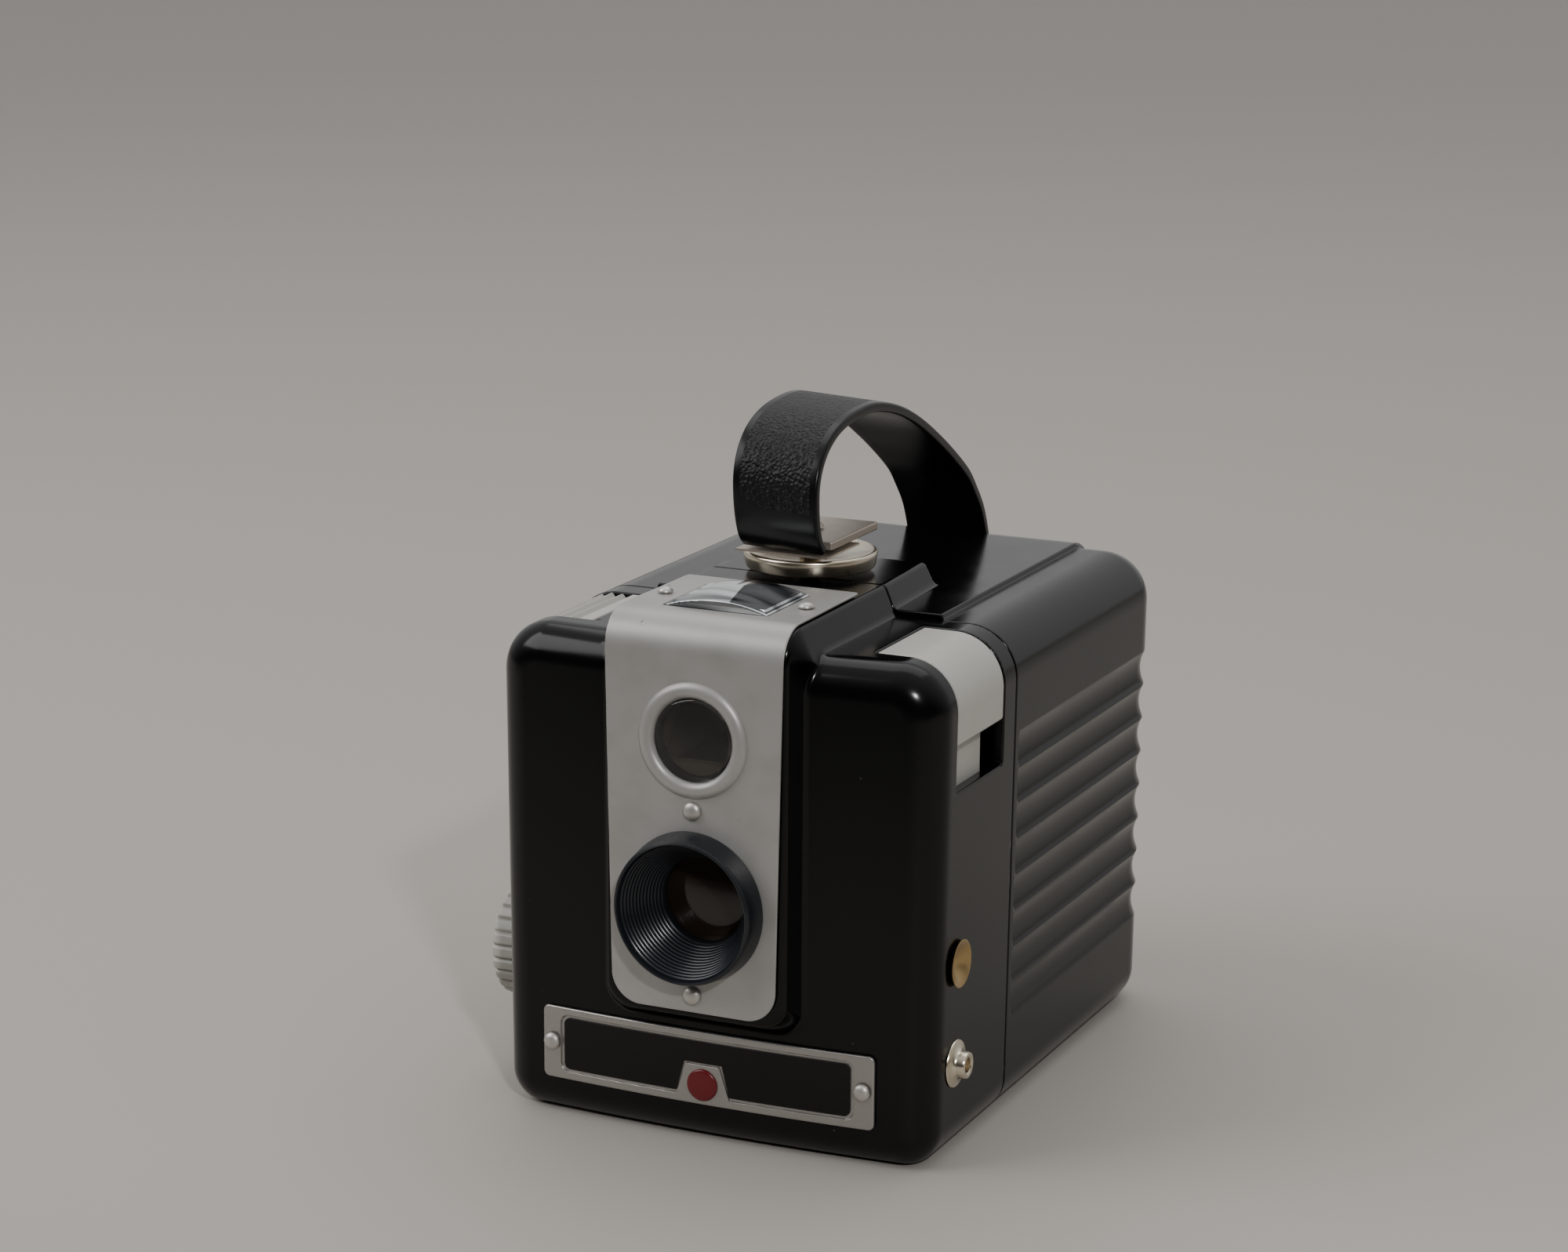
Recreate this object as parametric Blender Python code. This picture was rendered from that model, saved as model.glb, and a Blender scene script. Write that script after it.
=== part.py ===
"""Moulded box camera for 620 roll film. X runs to the viewer's right, the front faces -Y, Z is up.

Shapes are laid out in millimetres with y = 0 at the name plate's back, and each mesh is written in metres
with the origin under the front casing's flat base.
"""
import bpy
import bmesh
import math
from mathutils import Vector

MM = 0.001
ORIGIN_DEPTH = 22.0          # how far behind the front plane the base point lies

HALF_WIDTH = 46.0            # body half width near the top
SHOULDER_HEIGHT = 97.0
BODY_DEPTH = 124.0
SEAM = 40.6                  # depth of the seam between front casing and rear cover
WALL = 2.4
GAP = 0.3                    # clearance between neighbouring pieces
FRONT_SKIN = 0.3             # depth of the casing's front surface at the middle
FRONT_FILLET = 6.9           # round between the casing's front and its sides
BAND_FOOT = 26.8             # lower end of the raised band on the front
BOW = 2.4                    # how far the front falls back at the sides
TAPER = 0.000242             # side draught per mm of height
LIP_OFFSET = 2.7             # light-trap lip, outer face inside the casing
LIP_REACH = 43.8
RIDGE_TOP = 102.7            # raised band, top surface
RIDGE_FRONT = -4.2           # raised band, front surface
RIDGE_HALF = 18.5            # raised band half width at its crest
RIDGE_FOOT = 20.4
RIDGE_END = 63.0             # where the raised band stops on the rear cover
PANEL_HALF = 30.7            # rear cover's flat top panel
FLUTE_LOW = 18.8
FLUTE_PITCH = 7.2
FLUTE_COUNT = 8
FLUTE_DEPTH = 0.9
LENS_HEIGHT = 48.7
WINDOW_HEIGHT = 80.7
SLOT_FRONT = 11.8            # openings for the shutter button and the time lever
SLOT_REAR = 34.5
SLOT_INNER = 29.2
LATCH_DEPTH = 46.9
LATCH_TOP = 107.3
TAKE_UP = (27.6, 25.6)       # take-up spool axis, depth and height
SUPPLY = (58.0, 79.5)
SPOOL_HALF = 32.7
GATE = 107.0                 # film gate plane
HOOD_BORE = 11.7             # hole behind the lens hood
RIVET_HOLE = 1.1
NAME_RIVET = (32.6, 15.6)    # name plate's rivets, half spacing and height
FACE_RIVETS = (67.2, 31.3)   # heights of the rivets under the window and under the hood
TOP_RIVET = (14.6, 13.0)     # rivets beside the top lens, half spacing and depth
CONTACT_DEPTH = 14.8         # flash contacts on the right side
SOCKET_HEIGHT = 38.4
STUD_HEIGHT = 18.6
CONTACT_HOLE = 2.9
BUTTON_SLOT_FOOT = 72.0      # the button's slot goes 8.9 mm below the slab, which is its travel and a gap
BUTTON_FOOT = 80.9
LEVER_SLOT_FOOT = 84.7
LEVER_FOOT = 85.0
SLAB_THICK = 2.4
KNOB_RADIUS = 11.4
KNOB_LANDS = 26

for leftover in list(bpy.data.objects):
    bpy.data.objects.remove(leftover, do_unlink=True)


def material(name, colour, roughness, metallic=0.0, transmission=0.0):
    made = bpy.data.materials.new(name)
    made.use_nodes = True
    shader = made.node_tree.nodes["Principled BSDF"]
    shader.inputs["Base Color"].default_value = (*colour, 1.0)
    shader.inputs["Roughness"].default_value = roughness
    shader.inputs["Metallic"].default_value = metallic
    shader.inputs["Transmission Weight"].default_value = transmission
    return made


BLACK = ((0.012, 0.012, 0.013), 0.18)
DULL_BLACK = ((0.02, 0.02, 0.02), 0.6)
SILVER_PAINT = ((0.62, 0.61, 0.59), 0.35, 0.7)
NICKEL = ((0.66, 0.62, 0.56), 0.22, 1.0)
STEEL = ((0.5, 0.5, 0.5), 0.35, 1.0)
GREY_PLASTIC = ((0.56, 0.55, 0.52), 0.4)
GLASS = ((0.9, 0.92, 0.92), 0.05, 0.0, 0.9)
RED = ((0.45, 0.02, 0.02), 0.3)


def place(name, bm, look, bowed=False, tapered=False, origin=(0.0, 0.0, 0.0)):
    """Write a mesh laid out in millimetres as an object whose origin is the given point."""
    for vert in bm.verts:
        x, y, z = vert.co
        if bowed and y < SEAM:
            vert.co.y += BOW * (x / HALF_WIDTH) ** 2 * (1.0 - max(y, 0.0) / SEAM)
        if tapered:
            vert.co.x *= 1.0 - TAPER * (90.0 - z)
    base = Vector((origin[0], origin[1] - (ORIGIN_DEPTH if origin != (0.0, 0.0, 0.0) else 0.0),
                   origin[2]))
    for vert in bm.verts:
        vert.co = (vert.co - Vector((0.0, ORIGIN_DEPTH, 0.0)) - base) * MM
    bmesh.ops.recalc_face_normals(bm, faces=bm.faces)
    mesh = bpy.data.meshes.new(name)
    bm.to_mesh(mesh)
    bm.free()
    mesh.shade_smooth()
    mesh.set_sharp_from_angle(angle=math.radians(32.0))
    mesh.materials.append(material(name, *look))
    made = bpy.data.objects.new(name, mesh)
    made.location = base * MM
    bpy.context.scene.collection.objects.link(made)
    return made


def loft(rings, closed=False):
    """Skin equal-length rings of points in order; the ends are capped unless the loft closes on itself."""
    bm = bmesh.new()
    rows = [[bm.verts.new(point) for point in ring] for ring in rings]
    count = len(rows[0])
    pairs = list(zip(rows, rows[1:]))
    if closed:
        pairs.append((rows[-1], rows[0]))
    for low, high in pairs:
        for k in range(count):
            bm.faces.new((low[k], low[(k + 1) % count], high[(k + 1) % count], high[k]))
    if not closed:
        bm.faces.new(rows[0])
        bm.faces.new(rows[-1])
    return bm


def arc(centre, radius, start, end, steps):
    """Points on an arc in a plane, angles in degrees."""
    turns = [math.radians(start + (end - start) * k / steps) for k in range(steps + 1)]
    return [(centre[0] + radius * math.cos(t), centre[1] + radius * math.sin(t)) for t in turns]


def turned(profile, axis, centre, steps=40):
    """Revolve a closed (radius, height) profile about an axis through centre; radius 0 points join up."""
    bm = bmesh.new()
    side = {"X": ((0, 1, 0), (0, 0, 1), (1, 0, 0)), "Y": ((0, 0, 1), (1, 0, 0), (0, 1, 0)),
            "Z": ((1, 0, 0), (0, 1, 0), (0, 0, 1))}[axis]
    u, v, w = [Vector(direction) for direction in side]
    middle = Vector(centre)
    rows = []
    for radius, height in profile:
        if radius == 0.0:
            rows.append([bm.verts.new(middle + w * height)] * steps)
            continue
        turns = [2.0 * math.pi * k / steps for k in range(steps)]
        rows.append([bm.verts.new(middle + u * radius * math.cos(t) + v * radius * math.sin(t) + w * height)
                     for t in turns])
    for low, high in zip(rows, rows[1:] + rows[:1]):
        for k in range(steps):
            corners = []
            for vert in (low[k], low[(k + 1) % steps], high[(k + 1) % steps], high[k]):
                if vert not in corners:
                    corners.append(vert)
            if len(corners) > 2:
                bm.faces.new(corners)
    return bm


def rod(axis, centre, radius, low, high, steps=40):
    """Plain cylinder between two heights on an axis through centre."""
    return turned([(0.0, low), (radius, low), (radius, high), (0.0, high)], axis, centre, steps)


def prism(outline, axis, low, high):
    """Extrude a 2-D outline along an axis; the outline's pairs are the other two axes in X, Y, Z order."""
    def lift(a, b, c):
        return {"X": (c, a, b), "Y": (a, c, b), "Z": (a, b, c)}[axis]
    return loft([[lift(a, b, low) for a, b in outline], [lift(a, b, high) for a, b in outline]])


def block(low, high):
    return prism([(low[0], low[1]), (high[0], low[1]), (high[0], high[1]), (low[0], high[1])], "Z",
                 low[2], high[2])


def split_across(bm, stations):
    """Add cuts at constant x so the bowed front stays smooth."""
    for x in stations:
        parts = bm.verts[:] + bm.edges[:] + bm.faces[:]
        bmesh.ops.bisect_plane(bm, geom=parts, plane_co=(x, 0.0, 0.0), plane_no=(1.0, 0.0, 0.0))


def rounded_box(half_x, low_y, high_y, radius, steps=5):
    """Outline of a rectangle with rounded corners, centred on x = 0."""
    points = arc((half_x - radius, low_y + radius), radius, -90, 0, steps)
    points += arc((half_x - radius, high_y - radius), radius, 0, 90, steps)
    points += arc((-half_x + radius, high_y - radius), radius, 90, 180, steps)
    points += arc((-half_x + radius, low_y + radius), radius, 180, 270, steps)
    return points


def apply(target, tool, operation):
    cut = target.modifiers.new(tool.name, "BOOLEAN")
    cut.operation = operation
    cut.solver = "EXACT"
    cut.object = tool
    tool.hide_render = True
    tool.display_type = "WIRE"


def subtract(target, bm, bowed=False):
    tool = place(f"cut_{target.name}_{len(target.modifiers)}", bm, DULL_BLACK, bowed)
    apply(target, tool, "DIFFERENCE")


def unite(target, bm):
    tool = place(f"add_{target.name}_{len(target.modifiers)}", bm, DULL_BLACK)
    apply(target, tool, "UNION")


def body_outline(inset, top_radius=10.0, foot_radius=7.0, flute=None, panel=None):
    """One upright section of the body: right half bottom to top, then mirrored."""
    half = HALF_WIDTH - inset
    top = SHOULDER_HEIGHT - inset
    foot = max(foot_radius - inset, 0.6)
    crown = max(top_radius - inset, 0.6)
    right = arc((half - foot, inset + foot), foot, -90, 0, 5)
    if flute is not None:
        steps = FLUTE_COUNT * 4
        for k in range(steps + 1):
            across = (k % 4) / 4.0 * 2.0 - 1.0
            dip = flute * (1.0 - across * across) if k % 4 else 0.0
            right.append((half - dip, FLUTE_LOW + FLUTE_PITCH * k / 4.0))
    right += arc((half - crown, top - crown), crown, 0, 90, 6)
    if panel is not None:
        edge = min(PANEL_HALF, half - crown - 0.5)
        right.append((edge, top))
        right.append((edge - 0.5, top + panel))
    return right + [(-x, z) for x, z in reversed(right)]


def body_rings(stations, **options):
    return [[(x, y, z) for x, z in body_outline(inset, **options)] for y, inset in stations]


def ridge_rings(path, sink):
    """Trapezoid sections of the raised band; each station is (y, z, normal_y, normal_z, crest, foot, height)."""
    rings = []
    for y, z, ny, nz, crest, foot, height in path:
        slope = (foot - crest) / 6.0
        low = height + sink
        points = ((-foot - slope * sink, low), (-crest, 0.0), (crest, 0.0), (foot + slope * sink, low))
        rings.append([(x, y - ny * down, z - nz * down) for x, down in points])
    return rings


# ---- front casing: hollow shell, open at the back, with the raised band over its front and top
fillet_stations = [(FRONT_SKIN + FRONT_FILLET * (1.0 - math.sin(math.radians(a))),
                    FRONT_FILLET * (1.0 - math.cos(math.radians(a))))
                   for a in (90, 67.5, 45, 22.5, 0)]
shell = loft(body_rings(fillet_stations + [(SEAM, 0.0), (SEAM + 0.001, LIP_OFFSET),
                                           (LIP_REACH, LIP_OFFSET)]))
split_across(shell, [-37.5, -30, -22.5, -15, -7.5, 0, 7.5, 15, 22.5, 30, 37.5])
front_casing = place("front_casing", shell, BLACK, bowed=True, tapered=True)


def ridge_side(x, depth, low_z):
    """Side view of the raised band at one x: up the front, round the bend, back along the top, then inside."""
    bend_radius = 6.5 - depth
    front = RIDGE_FRONT + depth
    points = [(front + bend_radius, low_z - 2.4), (front, low_z)]
    points += [(front + bend_radius * (1.0 - math.cos(math.radians(a))),
                RIDGE_TOP - depth - bend_radius * (1.0 - math.sin(math.radians(a)))) for a in range(0, 91,
                                                                                                    15)]
    points += [(SEAM, RIDGE_TOP - depth), (SEAM, 92.0), (6.0, 92.0), (6.0, 50.0)]
    return [(x, y, z) for y, z in points]


foot_corner = 5.0
half_rings = [(RIDGE_HALF - foot_corner * (1.0 - math.sin(math.radians(a))), 0.0,
               BAND_FOOT + foot_corner * (1.0 - math.cos(math.radians(a)))) for a in (0, 30, 60, 90)]
half_rings.append((RIDGE_FOOT + 0.6, 6.0, 30.6))
band_rings = [ridge_side(-x, depth, low) for x, depth, low in reversed(half_rings)]
band_rings += [ridge_side(x, depth, low) for x, depth, low in half_rings]
unite(front_casing, loft(band_rings))

inner = [(FRONT_SKIN + WALL, WALL + 3.0), (FRONT_SKIN + WALL + 3.0, WALL), (36.0, WALL),
         (36.001, LIP_OFFSET + 1.3),
         (SEAM + 20.0, LIP_OFFSET + 1.3)]
subtract(front_casing, loft(body_rings(inner)))
subtract(front_casing, block((-15.5, 3.0, 90.0), (15.5, 36.0, 100.4)))
for side in (-1, 1):
    low, high = sorted((side * SLOT_INNER, side * 60.0))
    subtract(front_casing, block((low, SLOT_FRONT, BUTTON_SLOT_FOOT if side > 0 else LEVER_SLOT_FOOT),
                                 (high, SLOT_REAR, 120.0)))
subtract(front_casing, rod("Y", (0.0, 0.0, LENS_HEIGHT), HOOD_BORE, -20.0, 20.0))
subtract(front_casing, rod("Y", (0.0, 0.0, WINDOW_HEIGHT), 7.0, -20.0, 5.0))
subtract(front_casing, block((-10.0, 5.2, 95.0), (10.0, 22.6, 110.0)))
subtract(front_casing, block((-13.0, 34.0, 96.9), (13.0, 50.0, 99.6)))
for hole_radius, depth, height, side in ((3.1, *TAKE_UP, -1),
                                         (CONTACT_HOLE, CONTACT_DEPTH, SOCKET_HEIGHT, 1),
                                         (CONTACT_HOLE, CONTACT_DEPTH, STUD_HEIGHT, 1)):
    low, high = sorted((side * 38.0, side * 60.0))
    subtract(front_casing, rod("X", (0.0, depth, height), hole_radius, low, high, 24))
for x in (-NAME_RIVET[0], NAME_RIVET[0]):
    subtract(front_casing, rod("Y", (x, 0.0, NAME_RIVET[1]), RIVET_HOLE, -5.0, 8.0, 16))
for height in FACE_RIVETS:
    subtract(front_casing, rod("Y", (0.0, 0.0, height), RIVET_HOLE, -8.0, 8.0, 16))
for x in (-TOP_RIVET[0], TOP_RIVET[0]):
    subtract(front_casing, rod("Z", (x, TOP_RIVET[1], 0.0), RIVET_HOLE, 90.0, 110.0, 16))

# ---- face plate: one bent sheet, pressed ring round the finder window
PLATE_FRONT = -5.0
PLATE_TOP = 103.5
SHEET = 0.5


def plate_half(z):
    """Half width of the sheet on its front face, rounded at the bottom corners."""
    corner = 6.0
    low = 27.9
    half = 16.9 + 1.5 * (z - low) / 75.0
    if z < low + corner:
        up = low + corner - z
        half -= corner - math.sqrt(max(corner * corner - up * up, 0.0))
    return half


plate_path = []
for z in (27.9, 28.2, 29.0, 30.3, 32.0, 33.9, 60.0, 96.3):
    plate_path.append((PLATE_FRONT, z, -1.0, 0.0, plate_half(z)))
plate_bend = 7.0
for step in range(1, 8):
    angle = math.radians(90.0 * step / 8.0)
    plate_path.append((PLATE_FRONT + plate_bend * (1.0 - math.cos(angle)),
                       PLATE_TOP - plate_bend * (1.0 - math.sin(angle)), -math.cos(angle), math.sin(angle), 18.3))
plate_path.append((PLATE_FRONT + plate_bend, PLATE_TOP, 0.0, 1.0, 18.3))
plate_path.append((29.6, PLATE_TOP, 0.0, 1.0, 17.9))
rings = []
for y, z, ny, nz, half in plate_path:
    rings.append([(-half, y, z), (half, y, z), (half, y - ny * SHEET, z - nz * SHEET),
                  (-half, y - ny * SHEET, z - nz * SHEET)])
face_plate = place("face_plate", loft(rings), SILVER_PAINT)
ring_profile = [(8.0, 0.2), (8.2, -0.7), (9.4, -1.0), (10.6, -0.6), (11.0, 0.2)]
unite(face_plate, turned(ring_profile, "Y", (0.0, PLATE_FRONT + 0.1, WINDOW_HEIGHT)))
subtract(face_plate, rod("Y", (0.0, 0.0, WINDOW_HEIGHT), 8.0, -9.0, 0.0))
subtract(face_plate, rod("Y", (0.0, 0.0, LENS_HEIGHT), HOOD_BORE, -9.0, 0.0))
subtract(face_plate, block((-10.8, 4.1, 98.0), (10.8, 23.6, 110.0)))
for height in FACE_RIVETS:
    subtract(face_plate, rod("Y", (0.0, 0.0, height), RIVET_HOLE, -9.0, 0.0, 16))
for x in (-TOP_RIVET[0], TOP_RIVET[0]):
    subtract(face_plate, rod("Z", (x, TOP_RIVET[1], 0.0), RIVET_HOLE, 95.0, 110.0, 16))

# ---- finder: front window, box, mirror and domed top lens
place("finder_window", turned([(0.0, -0.6), (5.0, -0.3), (7.6, 0.2), (7.6, 0.75), (0.0, 0.75)], "Y",
                              (0.0, PLATE_FRONT - 0.3, WINDOW_HEIGHT), 36), GLASS)
dome = [(-10.5, 103.2)] + [(10.5 * math.cos(math.radians(a)), 103.6 + 1.7 * math.sin(math.radians(a)))
                           for a in range(165, 0, -15)] + [(10.5, 103.2)]
top_lens = place("finder_top_lens", prism(dome, "Y", 4.4, 23.3), GLASS)
unite(top_lens, block((-9.6, 5.6, 101.2), (9.6, 22.2, 103.8)))
finder_box = place("finder_box", block((-12.0, 3.4, 69.6), (12.0, 25.6, 94.2)), DULL_BLACK)
subtract(finder_box, prism([(2.0, 71.6), (4.0, 71.6), (23.8, 91.4), (23.8, 96.0), (2.0, 96.0)], "X",
                           -10.6, 10.6))
mirror_outline = [(5.0, 73.1), (5.8, 72.3), (23.2, 89.7), (22.4, 90.5)]
place("finder_mirror", prism([(y, z + 1.4) for y, z in mirror_outline], "X", -10.2, 10.2),
      ((0.8, 0.8, 0.8), 0.05, 1.0))

# ---- name plate: bowed frame with a sunk field, blank dot and two rivets
frame = prism(rounded_box(34.8, 8.1, 22.6, 2.4), "Y", -0.7, 0.0)
split_across(frame, range(-30, 31, 6))
name_plate = place("name_plate", frame, SILVER_PAINT, bowed=True)
field_outline = rounded_box(30.4, 10.0, 20.9, 1.4)
pocket = prism(field_outline, "Y", -3.0, -0.2)
split_across(pocket, range(-24, 25, 6))
subtract(name_plate, pocket, bowed=True)
inlay = prism(rounded_box(30.1, 10.3, 20.6, 1.2), "Y", -0.65, -0.5)
split_across(inlay, range(-24, 25, 6))
name_field = place("name_field", inlay, BLACK, bowed=True)
subtract(name_field, prism([(-5.9, 9.0), (5.9, 9.0), (4.0, 16.4), (-4.0, 16.4)], "Y", -3.0, 2.0))
tab = prism([(-5.5, 9.2), (5.5, 9.2), (3.7, 16.1), (-3.7, 16.1)], "Y", -0.7, -0.1)
unite(name_plate, tab)
place("name_dot", turned([(0.0, -0.45), (2.6, -0.35), (2.95, 0.0), (0.0, 0.0)], "Y", (0.0, -1.0, 12.1),
                         28), RED)


def rivet(name, centre, radius, axis, sign, bow=0.0):
    """Domed rivet head with a short shank; sign points the head outwards along the axis."""
    head = [(0.0, 0.95), (radius * 0.5, 0.82), (radius * 0.85, 0.5), (radius, 0.05), (radius, 0.0),
            (0.8, 0.0), (0.8, -3.0),
            (0.0, -3.0)]
    place(name, turned([(r, sign * h) for r, h in head], axis, (centre[0], centre[1] + bow, centre[2]),
                       20), NICKEL)


for x in (-NAME_RIVET[0], NAME_RIVET[0]):
    subtract(name_plate, rod("Y", (x, 0.0, NAME_RIVET[1]), RIVET_HOLE, -4.0, 6.0, 16))
side_bow = BOW * (NAME_RIVET[0] / HALF_WIDTH) ** 2
for side, x in (("left", -NAME_RIVET[0]), ("right", NAME_RIVET[0])):
    rivet(f"rivet_name_{side}", (x, -1.2, NAME_RIVET[1]), 1.7, "Y", -1, side_bow)
for place_name, height in zip(("window", "lens"), FACE_RIVETS):
    rivet(f"rivet_{place_name}", (0.0, PLATE_FRONT - 0.2, height), 1.8, "Y", -1)
for side, x in (("left", -TOP_RIVET[0]), ("right", TOP_RIVET[0])):
    rivet(f"rivet_top_{side}", (x, TOP_RIVET[1], PLATE_TOP + 0.3), 1.5, "Z", 1)

# ---- lens hood, lens, lens board and rotary shutter
hood = [(14.6, -5.3), (14.5, -6.2), (13.7, -10.0), (13.45, -10.6), (13.1, -10.7), (12.9, -10.4),
        (8.0, 0.4), (8.0, 2.6), (11.4, 2.6),
        (11.4, -5.3)]
place("lens_hood", turned(hood, "Y", (0.0, 0.0, LENS_HEIGHT), 48), BLACK)
meniscus = [(0.0, 0.2), (4.0, 0.6), (7.6, 1.9), (7.6, 3.0), (0.0, 2.0)]
place("lens", turned(meniscus, "Y", (0.0, -0.4, LENS_HEIGHT), 36), GLASS)
lens_board = place("lens_board", prism(rounded_box(17.0, LENS_HEIGHT - 15.6, LENS_HEIGHT + 15.6, 3.0),
                                       "Y", 4.6, 6.0), STEEL)
subtract(lens_board, rod("Y", (0.0, 0.0, LENS_HEIGHT), 5.0, 3.0, 8.0, 28))
SHUTTER_X = -9.0
unite(lens_board, rod("Y", (SHUTTER_X, 5.8, LENS_HEIGHT), 1.2, -0.2, 1.9, 20))
sector = [(SHUTTER_X + x, LENS_HEIGHT + z) for x, z in arc((0.0, 0.0), 15.5, -42.0, 96.0, 14)]
sector += [(SHUTTER_X + x, LENS_HEIGHT + z) for x, z in arc((0.0, 0.0), 3.4, 96.0, 318.0, 10)]
blade = place("shutter_disc", prism(sector, "Y", 6.6, 7.3), STEEL, origin=(SHUTTER_X, 7.0, LENS_HEIGHT))
subtract(blade, rod("Y", (SHUTTER_X, 0.0, LENS_HEIGHT), 1.5, 5.0, 9.0, 20))
window_turn = math.radians(36.0)
subtract(blade, rod("Y", (SHUTTER_X + 9.0 * math.cos(window_turn), 0.0,
                          LENS_HEIGHT + 9.0 * math.sin(window_turn)), 4.2, 5.0, 9.0, 24))

# ---- shutter button: slab over the right shoulder, tab down behind the wall, arm towards the shutter


def shoulder_slab(side, low_z, thickness):
    """L-shaped slab that follows the shoulder, from the slot's inner edge round the corner and down the side."""
    edge = SLOT_INNER + GAP
    outer = [(edge, SHOULDER_HEIGHT)] + arc((HALF_WIDTH - 10.0, SHOULDER_HEIGHT - 10.0), 10.0, 90, 0, 8)
    outer.append((HALF_WIDTH, low_z))
    inside = arc((HALF_WIDTH - 10.0, SHOULDER_HEIGHT - 10.0), 10.0 - thickness, 0, 90, 8)
    inner_side = [(HALF_WIDTH - thickness, low_z)] + inside + [(edge, SHOULDER_HEIGHT - thickness)]
    return [(side * x, z) for x, z in outer + inner_side]


shutter_button = place("shutter_button", prism(shoulder_slab(1, BUTTON_FOOT, SLAB_THICK), "Y",
                                               SLOT_FRONT + GAP, SLOT_REAR - GAP),
                       GREY_PLASTIC, tapered=True, origin=(40.0, 23.0, 90.0))
unite(shutter_button, block((40.6, 14.2, 66.0), (43.0, 30.4, 92.5)))
unite(shutter_button, block((30.6, 14.0, 86.0), (42.0, 17.0, 88.4)))
unite(shutter_button, block((30.6, 14.0, 72.0), (33.0, 17.0, 88.4)))
time_lever = place("time_lever", prism(shoulder_slab(-1, LEVER_FOOT, SLAB_THICK), "Y", SLOT_FRONT + GAP,
                                       SLOT_REAR - GAP),
                   GREY_PLASTIC, tapered=True, origin=(-40.0, 23.0, 90.0))
for k in range(5):
    x = -33.4 - 2.3 * k
    groove_foot = 96.3 if x > -36.0 else 96.3 - 0.1 * (k - 1) ** 2
    subtract(time_lever, prism([(x - 0.5, 99.0), (x + 0.5, 99.0), (x, groove_foot)], "Y", SLOT_FRONT,
                               SLOT_REAR))
unite(time_lever, block((-33.0, 16.0, 70.0), (-30.6, 19.0, 95.6)))

# ---- winding knob, shaft and take-up spool turn as one; supply spool turns on its springs


def knob_outline(centre, radius, lands, groove):
    points = []
    for k in range(lands):
        for share, inset in ((-0.36, 0.0), (0.0, 0.0), (0.36, 0.0), (0.5, groove)):
            t = 2.0 * math.pi * (k + share) / lands
            points.append((centre[0] + (radius - inset) * math.cos(t),
                           centre[1] + (radius - inset) * math.sin(t)))
    return points


knob_faces = ((-47.0, KNOB_RADIUS - 0.5), (-48.0, KNOB_RADIUS), (-53.6, KNOB_RADIUS),
              (-55.0, KNOB_RADIUS - 1.0))
knob = loft([[(x, y, z) for y, z in knob_outline(TAKE_UP, radius, KNOB_LANDS, 0.55)] for x,
             radius in knob_faces])
place("winding_knob", knob, GREY_PLASTIC, origin=(-50.0, *TAKE_UP))
shaft = [(0.0, -46.6), (5.4, -46.6), (5.4, -46.3), (2.7, -46.3), (2.7, -36.2), (2.2, -36.2), (2.2, -33.1),
         (0.0, -33.1)]
place("winding_shaft", turned(shaft, "X", (0.0, *TAKE_UP), 20), NICKEL, origin=(-42.0, *TAKE_UP))


def spool(name, axis):
    """Metal film spool: core, two flanges and a stub recess at each end."""
    h = SPOOL_HALF
    flange = [(3.0, -h), (11.0, -h), (11.2, -h + 0.4), (11.0, -h + 0.9), (4.4, -h + 0.9)]
    profile = flange + [(r, -x) for r, x in reversed(flange)]
    profile += [(3.0, h - 5.0), (0.0, h - 5.0), (0.0, -h + 5.0), (3.0, -h + 5.0)]
    return place(name, turned(profile, "X", (0.0, *axis), 28), STEEL, origin=(0.0, *axis))


spool("take_up_spool", TAKE_UP)
spool("supply_spool", SUPPLY)

# ---- film carrier: light cone, side plates, gate; rollers and the spool springs on its plates
CONE_FRONT = 16.0


def square(half, y):
    return [(-half, y, LENS_HEIGHT - half), (half, y, LENS_HEIGHT - half), (half, y, LENS_HEIGHT + half),
            (-half, y, LENS_HEIGHT + half)]


carrier = place("film_carrier", loft([square(7.4, CONE_FRONT), square(29.6, GATE)]), DULL_BLACK)
plate = [(18.0, 14.0), (40.0, 14.0), (60.0, 12.0), (GATE, 14.0), (GATE, 83.0), (70.0, 90.0), (48.0, 90.0),
         (36.0, 66.0), (18.0, 62.0)]
for side in (-1, 1):
    low, high = sorted((side * 33.9, side * 35.4))
    unite(carrier, prism(plate, "X", low, high))
for low, high in ((60.0, 62.4), (GATE - 1.8, GATE)):
    rise = 14.0 if low < 90.0 else 29.4
    unite(carrier, block((-34.6, low, LENS_HEIGHT - 27.0), (34.6, high, LENS_HEIGHT + rise)))
subtract(carrier, loft([square(5.4, CONE_FRONT - 2.0), square(28.6, GATE + 2.0)]))
for depth, height in (TAKE_UP, SUPPLY):
    subtract(carrier, rod("X", (0.0, depth, height), 3.0, -40.0, 40.0, 24))
ROLLERS = (("film_roller_upper", 80.9), ("film_roller_lower", 16.5))
for name, height in ROLLERS:
    subtract(carrier, rod("X", (0.0, GATE - 3.6, height), 1.5, -40.0, 40.0, 20))
    roll = [(0.0, -35.0), (1.2, -35.0), (1.2, -33.4), (2.5, -33.4), (2.5, 33.4), (1.2, 33.4), (1.2, 35.0),
            (0.0, 35.0)]
    place(name, turned(roll, "X", (0.0, GATE - 3.6, height), 20), STEEL, origin=(0.0, GATE - 3.6, height))
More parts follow.
